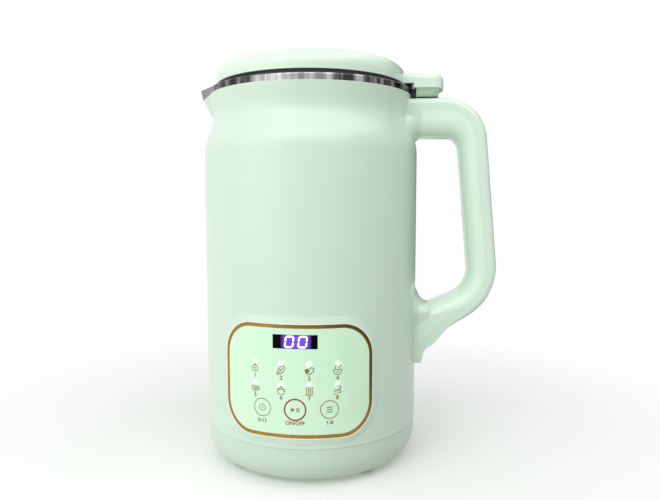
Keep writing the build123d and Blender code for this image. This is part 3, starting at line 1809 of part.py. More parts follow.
# Sealing ring between lid and rim, with a lip into the cup
with BuildPart() as lid_seal:
    ring(
        liner_skirt_radius,
        lid_seal_flange_radius,
        rim_top_height + seat_gap,
        lid_edge_height,
    )
    ring(
        liner_skirt_radius,
        cup_inner_radius - seat_gap,
        rim_top_height + seat_gap - lid_seal_lip_depth,
        rim_top_height + seat_gap,
    )
save(lid_seal, "lid_seal")

# Vent cap on the dome with its tube down into the cup
with BuildPart() as steam_vent:
    ring(0, vent_cap_radius, vent_seat_height, lid_top_height)
    fillet(steam_vent.edges().group_by(Axis.Z)[-1], vent_cap_thickness / 3)
    ring(0, vent_tube_radius, lid_edge_height, vent_seat_height)
    ring(
        0,
        vent_tube_radius - vent_tube_wall,
        lid_edge_height,
        vent_seat_height,
        mode=Mode.SUBTRACT,
    )
    ring(
        0,
        vent_hole_radius,
        vent_seat_height,
        lid_top_height,
        PolarLocations(vent_hole_circle, vent_hole_count),
        mode=Mode.SUBTRACT,
    )
save(steam_vent, "steam_vent")

# Level probe under the lid
with BuildPart() as overflow_probe:
    ring(0, probe_radius, lid_edge_height - probe_length, liner_top, probe_place)
    ring(0, probe_head_radius, liner_top, liner_top + probe_head_height, probe_place)
save(overflow_probe, "overflow_probe")
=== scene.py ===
import json
import math

import bmesh
import bpy
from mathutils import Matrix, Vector


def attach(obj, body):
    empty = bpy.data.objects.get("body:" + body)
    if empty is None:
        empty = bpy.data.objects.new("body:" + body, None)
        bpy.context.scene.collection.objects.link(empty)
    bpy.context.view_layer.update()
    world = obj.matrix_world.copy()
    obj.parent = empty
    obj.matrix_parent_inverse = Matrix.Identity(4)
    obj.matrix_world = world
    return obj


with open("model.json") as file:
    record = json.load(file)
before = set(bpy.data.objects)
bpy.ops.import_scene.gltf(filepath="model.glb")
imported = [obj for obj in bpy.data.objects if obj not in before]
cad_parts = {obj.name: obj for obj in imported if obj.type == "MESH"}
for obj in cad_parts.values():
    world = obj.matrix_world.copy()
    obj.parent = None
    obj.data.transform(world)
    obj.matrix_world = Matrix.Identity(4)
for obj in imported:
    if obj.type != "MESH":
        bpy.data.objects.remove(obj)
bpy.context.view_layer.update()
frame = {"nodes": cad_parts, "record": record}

MM = 0.001
BLACK = (0, 0, 0, 1)
WHITE = (1, 1, 1, 1)
scene = bpy.context.scene

# Camera, at the photograph's angle: place in millimetres, angles in degrees
CAMERA_PLACE = (51.25, -369.36, 155.0)
CAMERA_TILT = 85.42
CAMERA_TURN = 6.12
SENSOR_WIDTH = 36
LENS = 32.27
NEAREST_SEEN = 0.01

camera_data = bpy.data.cameras.new("camera")
camera_data.sensor_fit = "HORIZONTAL"
camera_data.sensor_width = SENSOR_WIDTH
camera_data.lens = LENS
camera_data.clip_start = NEAREST_SEEN
camera = bpy.data.objects.new("camera", camera_data)
camera.location = [value * MM for value in CAMERA_PLACE]
camera.rotation_euler = (math.radians(CAMERA_TILT), 0, math.radians(CAMERA_TURN))
scene.collection.objects.link(camera)
scene.camera = camera


def linear(rgb):
    """A colour written as 8-bit display values, in the renderer's linear units."""
    out = []
    for value in rgb:
        share = value / 255
        out.append(share / 12.92 if share <= 0.04045 else ((share + 0.055) / 1.055) ** 2.4)
    return (*out, 1.0)


def toned(colour, factor, lift=0.0):
    """A linear colour made darker or lighter."""
    return (*(min(1, channel * factor + lift) for channel in colour[:3]), 1)


# Sockets of the mix node that belong to colours
MIX_SHARE, MIX_FIRST, MIX_SECOND, MIX_RESULT = 0, 6, 7, 2


class Tree:
    """A node tree under construction. Its values are sockets or plain numbers."""

    def __init__(self, tree):
        self.tree = tree
        self.tree.nodes.clear()

    def new(self, kind):
        return self.tree.nodes.new(kind)

    def link(self, source, target):
        self.tree.links.new(source, target)

    def feed(self, value, socket):
        """Links a socket to another, or sets it to a plain value. None leaves it as it is."""
        if hasattr(value, "links"):
            self.link(value, socket)
        elif value is not None:
            socket.default_value = value

    def calc(self, operation, first, second=None, third=None, clamp=False):
        node = self.new("ShaderNodeMath")
        node.operation = operation
        node.use_clamp = clamp
        for value, socket in zip((first, second, third), node.inputs):
            self.feed(value, socket)
        return node.outputs[0]

    def product(self, first, second):
        return self.calc("MULTIPLY", first, second)

    def difference(self, first, second):
        return self.calc("SUBTRACT", first, second)

    def larger(self, first, second):
        return self.calc("MAXIMUM", first, second)

    def distance(self, across, up):
        """The length of a step across and a step up."""
        squares = self.calc("ADD", self.product(across, across), self.product(up, up))
        return self.calc("SQRT", squares)

    def split(self, vector):
        """The x, y and z of a vector."""
        node = self.new("ShaderNodeSeparateXYZ")
        self.link(vector, node.inputs[0])
        return tuple(node.outputs)

    def between(self, share, first, second):
        """Two surfaces or backgrounds mixed by a share of the second."""
        node = self.new("ShaderNodeMixShader")
        self.feed(share, node.inputs["Fac"])
        self.link(first, node.inputs[1])
        self.link(second, node.inputs[2])
        return node.outputs[0]

    def shown(self):
        """1 where the camera looks, straight or by way of metal and glass, and 0 for other light."""
        ray = self.new("ShaderNodeLightPath")
        direct = self.larger(ray.outputs["Is Camera Ray"], ray.outputs["Is Glossy Ray"])
        return self.larger(direct, ray.outputs["Is Transmission Ray"])


class Shader(Tree):
    """A material under construction, in metres of object space."""

    def __init__(self, name):
        self.material = bpy.data.materials.new(name)
        self.material.use_nodes = True
        super().__init__(self.material.node_tree)
        self.output = self.new("ShaderNodeOutputMaterial")
        self.surface = self.new("ShaderNodeBsdfPrincipled")
        self.link(self.surface.outputs["BSDF"], self.output.inputs["Surface"])
        self.place = self.new("ShaderNodeTexCoord").outputs["Object"]

    def noise(self, scale, detail=3.0, rough=0.5, vector=None, stretch=None):
        source = vector or self.place
        if stretch:
            mapping = self.new("ShaderNodeMapping")
            mapping.inputs["Scale"].default_value = stretch
            self.link(source, mapping.inputs["Vector"])
            source = mapping.outputs[0]
        node = self.new("ShaderNodeTexNoise")
        node.inputs["Scale"].default_value = scale
        node.inputs["Detail"].default_value = detail
        node.inputs["Roughness"].default_value = rough
        self.link(source, node.inputs["Vector"])
        return node.outputs["Fac"]

    def wrapped_noise(self, scales, detail, rough):
        """Noise laid round the body's axis, with a scale each for angle, height and radius."""
        node = self.new("ShaderNodeCombineXYZ")
        for value, scale, socket in zip(self.around(), scales, node.inputs):
            self.link(self.product(value, scale), socket)
        return self.noise(1.0, detail, rough, vector=node.outputs[0])

    def spread(self, value, low, high, from_low=0.3, from_high=0.7):
        """A value's range, by default that of noise, laid over low to high and held at its ends."""
        node = self.new("ShaderNodeMapRange")
        self.feed(value, node.inputs["Value"])
        node.inputs["From Min"].default_value = from_low
        node.inputs["From Max"].default_value = from_high
        node.inputs["To Min"].default_value = low
        node.inputs["To Max"].default_value = high
        return node.outputs["Result"]

    def blend(self, share, first, second):
        """Two colours mixed by a share of the second."""
        node = self.new("ShaderNodeMix")
        node.data_type = "RGBA"
        self.feed(share, node.inputs[MIX_SHARE])
        self.feed(first, node.inputs[MIX_FIRST])
        self.feed(second, node.inputs[MIX_SECOND])
        return node.outputs[MIX_RESULT]

    def around(self):
        """The angle round the body's axis in radians, 0 at the front, the height and the radius."""
        x, y, z = self.split(self.place)
        angle = self.calc("ARCTAN2", x, self.product(y, -1.0))
        return angle, z, self.distance(x, y)

    def outward(self):
        """How far a face looks away from the body's axis: 1 outward, -1 inward."""
        normal_x, normal_y, _ = self.split(self.new("ShaderNodeNewGeometry").outputs["True Normal"])
        x, y, _ = self.split(self.place)
        along = self.calc("ADD", self.product(normal_x, x), self.product(normal_y, y))
        return self.calc("DIVIDE", along, self.distance(x, y))

    def bump(self, height, strength, distance):
        node = self.new("ShaderNodeBump")
        node.inputs["Strength"].default_value = strength
        node.inputs["Distance"].default_value = distance
        self.link(height, node.inputs["Height"])
        self.link(node.outputs[0], self.surface.inputs["Normal"])

    def emit(self, colour):
        self.link(colour, self.surface.inputs["Emission Color"])

    def finish(self, colour, rough, **settings):
        """The material, with its colour, its roughness and its other sockets by name."""
        self.feed(colour, self.surface.inputs["Base Color"])
        self.feed(rough, self.surface.inputs["Roughness"])
        for key, value in settings.items():
            self.surface.inputs[key.replace("_", " ")].default_value = value
        return self.material


PLASTIC_IOR = 1.46
CLOUD_SHADE = 0.014
CLOUD_LIGHT = 0.6 * CLOUD_SHADE
GLOSS_CHANGE = 0.02


def moulded(name, rgb, rough=0.32, coat=0.3):
    """Moulded gloss plastic: faint flow clouds, faint orange peel, small changes of gloss."""
    shader = Shader(name)
    clouds = shader.noise(26, detail=2)
    flow = shader.noise(40, detail=1, stretch=(1, 1, 0.25))
    base = linear(rgb)
    clouded = shader.blend(clouds, toned(base, 1 - CLOUD_SHADE), toned(base, 1 + CLOUD_LIGHT))
    colour = shader.blend(shader.product(flow, 0.4), clouded, base)
    gloss = shader.spread(clouds, rough - GLOSS_CHANGE, rough + GLOSS_CHANGE, 0.0, 1.0)
    shader.bump(shader.noise(150, detail=0), strength=0.03, distance=0.0002)
    return shader.finish(colour, gloss, IOR=PLASTIC_IOR, Coat_Weight=coat, Coat_Roughness=0.1)


def moulded_dark(name, rgb, rough=0.5):
    """Dark moulded plastic with an eroded, slightly dusty surface."""
    shader = Shader(name)
    dust = shader.noise(90, detail=5, rough=0.6)
    base = linear(rgb)
    colour = shader.blend(shader.spread(dust, 0, 0.6, 0.45, 0.75), base, toned(base, 1.5, 0.01))
    shader.bump(shader.noise(2600, detail=2), strength=0.25, distance=0.0003)
    return shader.finish(colour, shader.spread(dust, rough - 0.06, rough + 0.1))


def rubber(name, rgb):
    """Moulded rubber with a chalky bloom and a fine texture."""
    shader = Shader(name)
    bloom = shader.noise(70, detail=5, rough=0.6)
    base = linear(rgb)
    colour = shader.blend(shader.spread(bloom, 0, 0.7, 0.4, 0.75), base, toned(base, 1.7, 0.012))
    shader.bump(shader.noise(3200), strength=0.3, distance=0.0003)
    return shader.finish(colour, shader.spread(bloom, 0.65, 0.82))


def turned_steel(name):
    """Steel with turning marks round the body's axis and faint stains."""
    shader = Shader(name)
    marks = shader.wrapped_noise((0.6, 5200.0, 5200.0), detail=4, rough=0.7)
    stains = shader.noise(45, detail=4, rough=0.6)
    base = linear((196, 197, 198))
    dark = toned(base, 0.825)
    colour = shader.blend(shader.spread(marks, 0, 1), dark, base)
    colour = shader.blend(shader.spread(stains, 0, 0.25), colour, dark)
    shader.bump(marks, strength=0.12, distance=0.0001)
    return shader.finish(colour, shader.spread(marks, 0.36, 0.2), Metallic=1.0, Anisotropic=0.4)


def cast_metal(name, rgb, rough):
    """Plated or cast metal: mottled colour, fine pits."""
    shader = Shader(name)
    mottle = shader.noise(240, detail=4, rough=0.6)
    base = linear(rgb)
    colour = shader.blend(shader.spread(mottle, 0, 1), toned(base, 0.72), base)
    shader.bump(shader.noise(1800), strength=0.2, distance=0.0002)
    return shader.finish(colour, shader.spread(mottle, rough + 0.1, rough - 0.08), Metallic=1.0)


def laminate(name, rgb):
    """Circuit board laminate with a faint weave and traces under the lacquer."""
    shader = Shader(name)
    weave = shader.noise(900, detail=2, stretch=(1, 1, 0.2))
    traces = shader.noise(120, detail=1, rough=0.2, stretch=(1, 1, 3))
    base = linear(rgb)
    light = toned(base, 1.35, 0.01)
    colour = shader.blend(shader.spread(traces, 0, 1, 0.49, 0.52), base, light)
    colour = shader.blend(shader.spread(weave, 0, 0.3), colour, light)
    shader.bump(weave, strength=0.1, distance=0.0001)
    return shader.finish(colour, 0.35, Coat_Weight=0.3, Coat_Roughness=0.15)


def wound_copper(name, rgb):
    """Enamelled copper wire: fine parallel turns."""
    shader = Shader(name)
    turns = shader.noise(2200, detail=2, stretch=(0.08, 1, 1))
    colour = shader.blend(shader.spread(turns, 0, 1), linear((120, 58, 26)), linear(rgb))
    shader.bump(turns, strength=0.5, distance=0.0003)
    return shader.finish(colour, 0.32, Metallic=0.85, Coat_Weight=0.4)


# The rim band's painted reflections: its bright parts, as angles round the axis in radians. Each rises
# or falls between two.
FRONT_RISES = (-0.44, -0.32)
FRONT_FALLS = (0.28, 0.38)
PAINTED_REFLECTION_BRIGHTNESS = 0.66
GLINT_ANGLE = 0.56
GLINT_HALF_WIDTHS = (0.02, 0.06)
PAINTED_GLINT_BRIGHTNESS = 0.9
SPOUT_CALM_ENDS = (-1.12, -0.96)


def polished_cup(name):
    """Polished cup steel: painted reflections on its rolled rim as bright and dark vertical bands and a
    glint, brushed marks inside.
    """
    shader = Shader(name)
    angle, _, _ = shader.around()
    bands = shader.wrapped_noise((12.0, 18.0, 0.0), detail=3, rough=0.55)
    fine = shader.wrapped_noise((0.8, 4200.0, 4200.0), detail=4, rough=0.7)
    # Painted reflections: a bright stretch on the front, a glint and streaks, calmer by the spout, over
    # dark steel
    risen = shader.spread(angle, 0.0, 1.0, *FRONT_RISES)
    fallen = shader.spread(angle, 1.0, 0.0, *FRONT_FALLS)
    front = shader.product(shader.product(risen, fallen), PAINTED_REFLECTION_BRIGHTNESS)
    from_glint = shader.calc("ABSOLUTE", shader.difference(angle, GLINT_ANGLE))
    painted_glint = shader.product(shader.spread(from_glint, 1.0, 0.0, *GLINT_HALF_WIDTHS), PAINTED_GLINT_BRIGHTNESS)
    calm = shader.spread(angle, 0.1, 1.0, *SPOUT_CALM_ENDS)
    painted_streaks = shader.product(shader.spread(bands, -0.2, 0.45, 0.42, 0.64), calm)
    share = shader.calc("ADD", shader.larger(front, painted_glint), painted_streaks, clamp=True)
    painted_reflections = shader.blend(share, linear((58, 54, 56)), linear((190, 188, 187)))
    inside = shader.blend(shader.spread(fine, 0, 1), linear((208, 210, 211)), linear((226, 228, 228)))
    outside = shader.spread(shader.outward(), 0.0, 1.0, -0.05, 0.15)
    shader.bump(fine, strength=0.06, distance=0.0001)
    return shader.finish(
        shader.blend(outside, inside, painted_reflections), shader.spread(fine, 0.24, 0.14), Metallic=1.0,
    )


# Painted shade darkens the border toward its upper right: angles in radians, heights in metres
PAINTED_SHADE_ANGLES = (-0.25, 0.42)
PAINTED_SHADE_HEIGHTS = (0.034, 0.056)


def gold(name):
    """Gilded border: warm brown gold with fine brushing, and painted shade toward its upper right."""
    shader = Shader(name)
    brushing = shader.noise(1800, rough=0.6, stretch=(1, 1, 0.3))
    patches = shader.noise(40)
    angle, height, _ = shader.around()
    brushed = shader.spread(brushing, 0, 1)
    colour = shader.blend(brushed, linear((156, 115, 50)), linear((196, 151, 76)))
    # Painted shade, darker to the right and toward the top
    rightward = shader.spread(angle, 0.0, 1.0, *PAINTED_SHADE_ANGLES)
    upward = shader.spread(height, 0.3, 1.0, *PAINTED_SHADE_HEIGHTS)
    painted_shade = shader.product(shader.product(rightward, upward), 0.9)
    colour = shader.blend(painted_shade, colour, linear((76, 50, 14)))
    colour = shader.blend(shader.spread(patches, 0, 0.3), colour, linear((120, 90, 40)))
    shader.bump(brushing, strength=0.08, distance=0.0001)
    return shader.finish(colour, shader.spread(brushing, 0.38, 0.28), Metallic=0.92)


# Places on the panel in millimetres: arcs along its curve from its middle, and heights
PANEL_RADIUS = 66.0
LIGHT_HEIGHTS = (70.0, 58.6)
LIGHT_RADIUS = 3.0
LIGHT_FALLOFF = 2.2
COLUMN_PITCH = 15.2
COLUMNS = [(column - 1.5) * COLUMN_PITCH for column in range(4)]
KEYS = (-18.5, 0.0, 18.5)
KEY_HEIGHT = 45.0
DISPLAY_HEIGHT = 81.7
DIGIT_SHIFT = 0.6
HAZE_HALF_WIDTHS = (5.9, 8.6)
HAZE_HALF_HEIGHTS = (2.4, 4.2)


def panel_place(shader):
    """A point's arc and height on the panel, in metres."""
    angle, height, _ = shader.around()
    return shader.product(angle, PANEL_RADIUS * MM), height


def glow(shader, places, radius):
    """How near a point lies to one of the places on the panel: 1 at a place, 0 from the radius on."""
    arc, height = panel_place(shader)
    nearest = None
    for place_arc, place_height in places:
        across = shader.difference(arc, place_arc * MM)
        up = shader.difference(height, place_height * MM)
        share = shader.calc("DIVIDE", shader.distance(across, up), radius * MM)
        near = shader.calc("SUBTRACT", 1.0, share, clamp=True)
        nearest = near if nearest is None else shader.larger(nearest, near)
    return nearest


def lit_panel(name):
    """Panel plastic that the lights behind it shine through."""
    shader = Shader(name)
    clouds = shader.noise(30)
    clouded = shader.spread(clouds, 0, 1, 0.1, 0.9)
    base = shader.blend(clouded, linear((210, 244, 213)), linear((216, 248, 218)))
    places = [(column, height) for height in LIGHT_HEIGHTS for column in COLUMNS]
    core = shader.calc("POWER", glow(shader, places, LIGHT_RADIUS), LIGHT_FALLOFF)
    colour = shader.blend(core, base, linear((250, 255, 250)))
    shader.emit(shader.blend(core, BLACK, (0.9, 1.0, 0.94, 1)))
    shader.bump(shader.noise(1500, detail=2), strength=0.015, distance=0.0002)
    return shader.finish(
        colour, shader.spread(shader.noise(240), 0.13, 0.2),
        IOR=PLASTIC_IOR, Coat_Weight=0.4, Coat_Roughness=0.05, Emission_Strength=0.34,
    )


def lit_display(name):
    """Smoked window with the violet light of two digits behind it."""
    shader = Shader(name)
    arc, height = panel_place(shader)
    across = shader.calc("ABSOLUTE", shader.difference(arc, DIGIT_SHIFT * MM))
    up = shader.calc("ABSOLUTE", shader.difference(height, DISPLAY_HEIGHT * MM))
    sideways = shader.spread(across, 1.0, 0.0, *(edge * MM for edge in HAZE_HALF_WIDTHS))
    upward = shader.spread(up, 1.0, 0.6, *(edge * MM for edge in HAZE_HALF_HEIGHTS))
    grain = shader.spread(shader.noise(800, detail=2), 0.85, 1.0)
    haze = shader.product(shader.product(sideways, upward), grain)
    shader.emit(shader.blend(haze, BLACK, linear((124, 84, 228))))
    return shader.finish(
        shader.blend(haze, linear((6, 4, 8)), linear((50, 26, 100))), 0.3,
        Emission_Strength=0.95, IOR=1.2, Specular_IOR_Level=0.15,
    )


def alike(maker, colours, **settings):
    """Finishes made in one way, by slot."""
    return {slot: maker(slot, rgb, **settings) for slot, rgb in colours.items()}


COPPER = (196, 112, 62)
finishes = {
    # One mint plastic: the grip, the cover and the lid are painted lighter than the body as painted
    # light, and the base darker as painted shade
    **alike(moulded, {"body_plastic": (208, 228, 210), "grip_plastic": (218, 238, 220)}),
    **alike(moulded, {
        "base_plastic": (202, 221, 203),
        "tab_base_plastic": (196, 226, 194),
        "vent_plastic": (206, 228, 208),
    }, rough=0.34),
    **alike(moulded, {"cover_plastic": (211, 231, 215), "lid_plastic": (218, 237, 220)}, rough=0.24),
    **alike(moulded, {"liner_plastic": (226, 236, 226)}, rough=0.42, coat=0.1),
    **alike(moulded, {"guide_plastic": (226, 232, 232)}, rough=0.2),
    **alike(rubber, {
        "foot_rubber": (40, 40, 41),
        # Near black: the seal ring is partly real rubber and partly painted shade for the gap under the
        # lid's edge, and the coupler pieces below share it
        "seal_rubber": (24, 27, 25),
        "gasket_rubber": (190, 188, 180),
        "shaft_seal_rubber": (36, 34, 34),
        "bush_rubber": (46, 46, 46),
        "touch_pad_rubber": (52, 52, 54),
    }),
    **alike(moulded_dark, {
        "inlet_plastic": (26, 26, 27),
        "socket_plastic": (22, 24, 23),
        "module_plastic": (44, 44, 46),
        "fan_plastic": (48, 48, 50),
        "cutout_plastic": (40, 34, 30),
        "brush_box_plastic": (58, 44, 34),
        "component_plastic": (32, 52, 110),
    }),
    **alike(moulded_dark, {"brush_carbon": (38, 38, 40)}, rough=0.6),
    **alike(cast_metal, {"pin_brass": (206, 204, 198), "coupler_brass": (206, 178, 110)}, rough=0.3),
    **alike(cast_metal, {"commutator_brass": (190, 118, 76)}, rough=0.35),
    **alike(cast_metal, {"heater_aluminium": (184, 184, 186)}, rough=0.5),
    **alike(wound_copper, {"coil_copper": COPPER, "winding_copper": COPPER}),
    **alike(laminate, {
        "control_board_laminate": (24, 92, 48),
        "power_board_laminate": (140, 104, 52),
    }),
    "cup_steel": polished_cup("cup_steel"),
    "gold_trim": gold("gold_trim"),
    "panel_plastic": lit_panel("panel_plastic_lit"),
    "display_glass": lit_display("display_glass"),
}

# The rest are steels, either turned on a lathe or plated
TURNED_SLOTS = {
    "housing_steel", "housing_nut_steel", "shaft_steel", "upper_bearing_steel", "lower_bearing_steel",
    "lower_blade_steel", "upper_blade_steel", "blade_spacer_steel", "blade_nut_steel",
    "motor_plate_steel",
}
PLATED_RGB = (176, 177, 180)
PLATED_ROUGH = 0.34
for entry in frame["record"]["materials"]:
    slot = entry["slot"]
    if slot in TURNED_SLOTS:
        finishes[slot] = turned_steel(slot)
    elif slot not in finishes:
        finishes[slot] = cast_metal(slot, PLATED_RGB, PLATED_ROUGH)

for entry in frame["record"]["subparts"]:
    materials = frame["nodes"][entry["node"]].data.materials
    materials.clear()
    materials.append(finishes[entry["material_slot"]])


def ink(name, rgb, rough=0.5, strength=0.0):
    """Screen-printed ink with small changes of density, or lit ink where a strength is given."""
    shader = Shader(name)
    density = shader.noise(900, detail=4, rough=0.6)
    base = linear(rgb)
    colour = shader.blend(shader.spread(density, 0, 0.8), base, toned(base, 1.25, 0.02))
    shader.bump(density, strength=0.1, distance=0.00005)
    if strength:
        shader.emit(colour)
    return shader.finish(colour, rough, Emission_Strength=strength)


def made_from(name, shape, material):
    """An object in the scene, made from a finished shape."""
    data = bpy.data.meshes.new(name)
    shape.to_mesh(data)
    shape.free()
    data.materials.append(material)
    made = bpy.data.objects.new(name, data)
    scene.collection.objects.link(made)
    return made


EDGE_SEGMENTS = 3


def add_piece(name, shape, material, slot, body, edge=0.0):
    """A visible piece that rides on a body, with its edges rounded where a width is given."""
    bmesh.ops.recalc_face_normals(shape, faces=shape.faces)
    piece = made_from(name, shape, material)
    if edge:
        rounding = piece.modifiers.new("edge", "BEVEL")
        rounding.width = edge * MM
        rounding.segments = EDGE_SEGMENTS
    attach(piece, body)


def on_circle(radius, turn, centre=(0, 0)):
    """A circle's point by its turn in degrees from the circle's right side."""
    angle = math.radians(turn)
    return (centre[0] + radius * math.cos(angle), centre[1] + radius * math.sin(angle))


def circle(centre, radius, steps):
    """Points all round a circle."""
    return [on_circle(radius, 360 * step / steps, centre) for step in range(steps)]


def neighbour(path, index, closed):
    """A path's point by its number, going round a closed path and stopping at an open one's ends."""
    if closed:
        return path[index % len(path)]
    return path[min(max(index, 0), len(path) - 1)]


def moved(centre, points):
    """Points about a centre."""
    return [(centre[0] + x, centre[1] + y) for x, y in points]


SMOOTH_STEPS = 5


def smooth_value(before, here, there, beyond, share):
    """One coordinate of a smooth curve (Catmull-Rom) at a share of the way from here to there."""
    slope = there - before
    square = 2 * before - 5 * here + 4 * there - beyond
    cube = 3 * here - before - 3 * there + beyond
    return 0.5 * (2 * here + slope * share + square * share * share + cube * share ** 3)


def smooth(points, closed=False):
    """A smooth path through points."""
    path = []
    for index in range(len(points) if closed else len(points) - 1):
        around = [neighbour(points, index + offset, closed) for offset in (-1, 0, 1, 2)]
        for step in range(SMOOTH_STEPS):
            path.append(tuple(smooth_value(*values, step / SMOOTH_STEPS) for values in zip(*around)))
    if not closed:
        path.append(points[-1])
    return path


PRINT_LIFT = 0.05
DISC_STEPS = 20
TEXT_RESOLUTION = 4
TEXT_WEIGHT = 0.07


class Print:
    """Flat shapes on the panel's curve, raised by a hair, gathered into one piece."""

    def __init__(self, name, material, slot, lift=PRINT_LIFT):
        self.name = name
        self.material = material
        self.slot = slot
        self.lift = lift
        self.mesh = bmesh.new()

    def vertex(self, arc, height, lift):
        angle = arc / PANEL_RADIUS
        radius = (PANEL_RADIUS + lift) * MM
        return self.mesh.verts.new((radius * math.sin(angle), -radius * math.cos(angle), height * MM))

    def polygon(self, outline):
        """A filled outline of (arc, height) points, with its edge walls."""
        area = sum(a[0] * b[1] - b[0] * a[1] for a, b in zip(outline, outline[1:] + outline[:1]))
        if area < 0:
            outline = outline[::-1]
        top = [self.vertex(*place, self.lift) for place in outline]
        low = [self.vertex(*place, 0.0) for place in outline]
        self.mesh.faces.new(top)
        for index in range(len(outline)):
            after = (index + 1) % len(outline)
            self.mesh.faces.new((top[index], low[index], low[after], top[after]))

    def stroke(self, path, width, closed=False):
        """A line of even width along a path, as a chain of four-sided shapes."""
        left = []
        right = []
        for index, (arc, height) in enumerate(path):
            before = neighbour(path, index - 1, closed)
            after = neighbour(path, index + 1, closed)
            along = Vector((after[0] - before[0], after[1] - before[1])).normalized()
            side = Vector((-along.y, along.x)) * (width / 2)
            left.append((arc + side.x, height + side.y))
            right.append((arc - side.x, height - side.y))
        for index in range(len(path) if closed else len(path) - 1):
            after = (index + 1) % len(path)
            self.polygon([right[index], right[after], left[after], left[index]])

    def ring(self, centre, radius, width, steps=48):
        self.stroke(circle(centre, radius, steps), width, closed=True)

    def disc(self, centre, radius):
        self.polygon(circle(centre, radius, DISC_STEPS))

    def text(self, words, centre, size):
        """Plain figures or words set with the built-in face, centred on a place."""
        data = bpy.data.curves.new("words", "FONT")
        data.body = words
        data.size = size
        data.align_x = "CENTER"
        data.align_y = "CENTER"
        data.resolution_u = TEXT_RESOLUTION
        data.offset = TEXT_WEIGHT
        holder = bpy.data.objects.new("words", data)
        scene.collection.objects.link(holder)
        flat = bpy.data.meshes.new_from_object(holder)
        bpy.data.objects.remove(holder)
        places = moved(centre, [vertex.co.xy for vertex in flat.vertices])
        placed = [self.vertex(*place, self.lift) for place in places]
        for face in flat.polygons:
            self.mesh.faces.new([placed[index] for index in face.vertices])
        bpy.data.meshes.remove(flat)

    def done(self):
        add_piece(self.name, self.mesh, self.material, self.slot, "body")


# The eight printed pictures, each about its own centre in millimetres. A mark is a smooth curve, a
# closed smooth loop or straight lines, with its width as a share of LINE_WIDTH, or it is a disc with
# its radius.
PICTURES = {
    "bean": [
        ("loop", 1.0, [
            (-1.7, 0.2), (-0.9, 1.5), (0.6, 1.5), (1.6, 0.4), (1.2, -1.3), (-0.2, -1.7), (-1.4, -1.1),
        ]),
        ("curve", 1.0, [(-0.7, 0.5), (0.1, 0.1), (0.2, -0.8)]),
        ("curve", 1.0, [(-0.4, 2.6), (0.1, 2.0), (0.8, 1.9)]),
    ],
    "ear": [
        ("loop", 1.0, [(-1.9, -2.0), (-1.7, 0.2), (0.2, 2.1), (1.9, 2.3), (1.7, 0.2), (0.1, -1.6)]),
        ("curve", 1.0, [(-2.3, -2.5), (-0.6, -0.4), (1.0, 1.3)]),
        ("curve", 0.8, [(-0.9, 0.9), (-0.2, 0.1), (0.4, -0.6)]),
    ],
    "fruit": [
        ("disc", 1.25, [(-1.1, 0.1)]),
        ("curve", 1.2, [(0.2, 1.0), (1.1, 1.9), (2.3, 1.3), (2.2, 0.0), (0.9, -1.3), (0.0, -2.1)]),
        ("curve", 1.0, [(-1.9, -0.8), (-0.9, -1.6), (0.0, -2.1)]),
    ],
    "bowl": [
        ("curve", 1.0, [(-2.2, 0.2), (-1.8, -1.4), (-0.6, -2.2), (0.6, -2.2), (1.8, -1.4), (2.2, 0.2)]),
        ("lines", 1.0, [(-2.5, 0.3), (2.5, 0.3)]),
        ("curve", 1.0, [(-1.0, 1.0), (-1.3, 1.7), (-0.8, 2.3)]),
        ("curve", 1.0, [(0.6, 1.0), (1.0, 2.0), (2.2, 2.4)]),
        ("lines", 1.0, [(-0.9, -0.9), (0.9, -0.9)]),
    ],
    "teacup": [
        ("curve", 1.0, [(-2.0, 0.9), (-1.8, -0.9), (-0.8, -1.9), (0.4, -1.9), (1.3, -0.9), (1.5, 0.9)]),
        ("lines", 1.0, [(-2.2, 1.0), (1.7, 1.0)]),
        ("curve", 1.0, [(1.5, 0.5), (2.5, 0.5), (2.3, -0.7), (1.2, -0.9)]),
        ("curve", 1.0, [(-0.9, 0.4), (-0.1, -0.2), (0.7, 0.3), (-0.1, -1.2), (-0.9, 0.4)]),
    ],
    "pot": [
        ("lines", 1.0, [(-1.6, 0.6), (-1.6, -2.0), (1.6, -2.0), (1.6, 0.6)]),
        ("lines", 1.0, [(-2.2, 0.7), (2.2, 0.7)]),
        ("curve", 1.0, [(-1.3, 0.8), (0.0, 1.7), (1.3, 0.8)]),
        ("disc", 0.4, [(0.0, 2.1)]),
        ("lines", 1.0, [(-2.3, -0.4), (-1.7, -0.4)]),
        ("lines", 1.0, [(1.7, -0.4), (2.3, -0.4)]),
    ],
    "heat": [
        ("curve", 1.0, [(x, -1.2), (x + 0.35, -0.3), (x, 0.7), (x + 0.35, 1.7), (x, 2.4)])
        for x in (-1.5, -0.5, 0.5, 1.5)
    ] + [
        ("lines", 1.3, [(-2.1, -1.9), (2.1, -1.9)]),
    ],
    "brush": [
        ("curve", 1.0, [(-0.2, 2.2), (1.4, 2.3), (1.7, 1.0), (0.4, 0.4)]),
        ("lines", 1.0, [(0.3, 0.5), (-2.0, -0.5)]),
        ("curve", 1.0, [(0.4, 0.4), (1.9, -0.4), (1.6, -1.3), (-0.3, -0.7)]),
        ("disc", 0.45, [(-1.5, -1.9)]),
        ("disc", 0.3, [(-0.2, -2.2)]),
    ],
}
PICTURE_HEIGHTS = (66.1, 55.2)
FIGURE_HEIGHTS = (62.0, 51.3)
FIGURE_SIZE = 3.2
LINE_WIDTH = 0.42

gold_ink = Print("panel_prints", ink("gold_ink", (130, 102, 48)), "gold_trim")


def draw(marks, centre):
    """Prints one picture's marks."""
    for kind, size, points in marks:
        placed = moved(centre, points)
        if kind == "disc":
            gold_ink.disc(placed[0], size)
        elif kind == "lines":
            gold_ink.stroke(placed, LINE_WIDTH * size)
        else:
            closed = kind == "loop"
            gold_ink.stroke(smooth(placed, closed), LINE_WIDTH * size, closed)


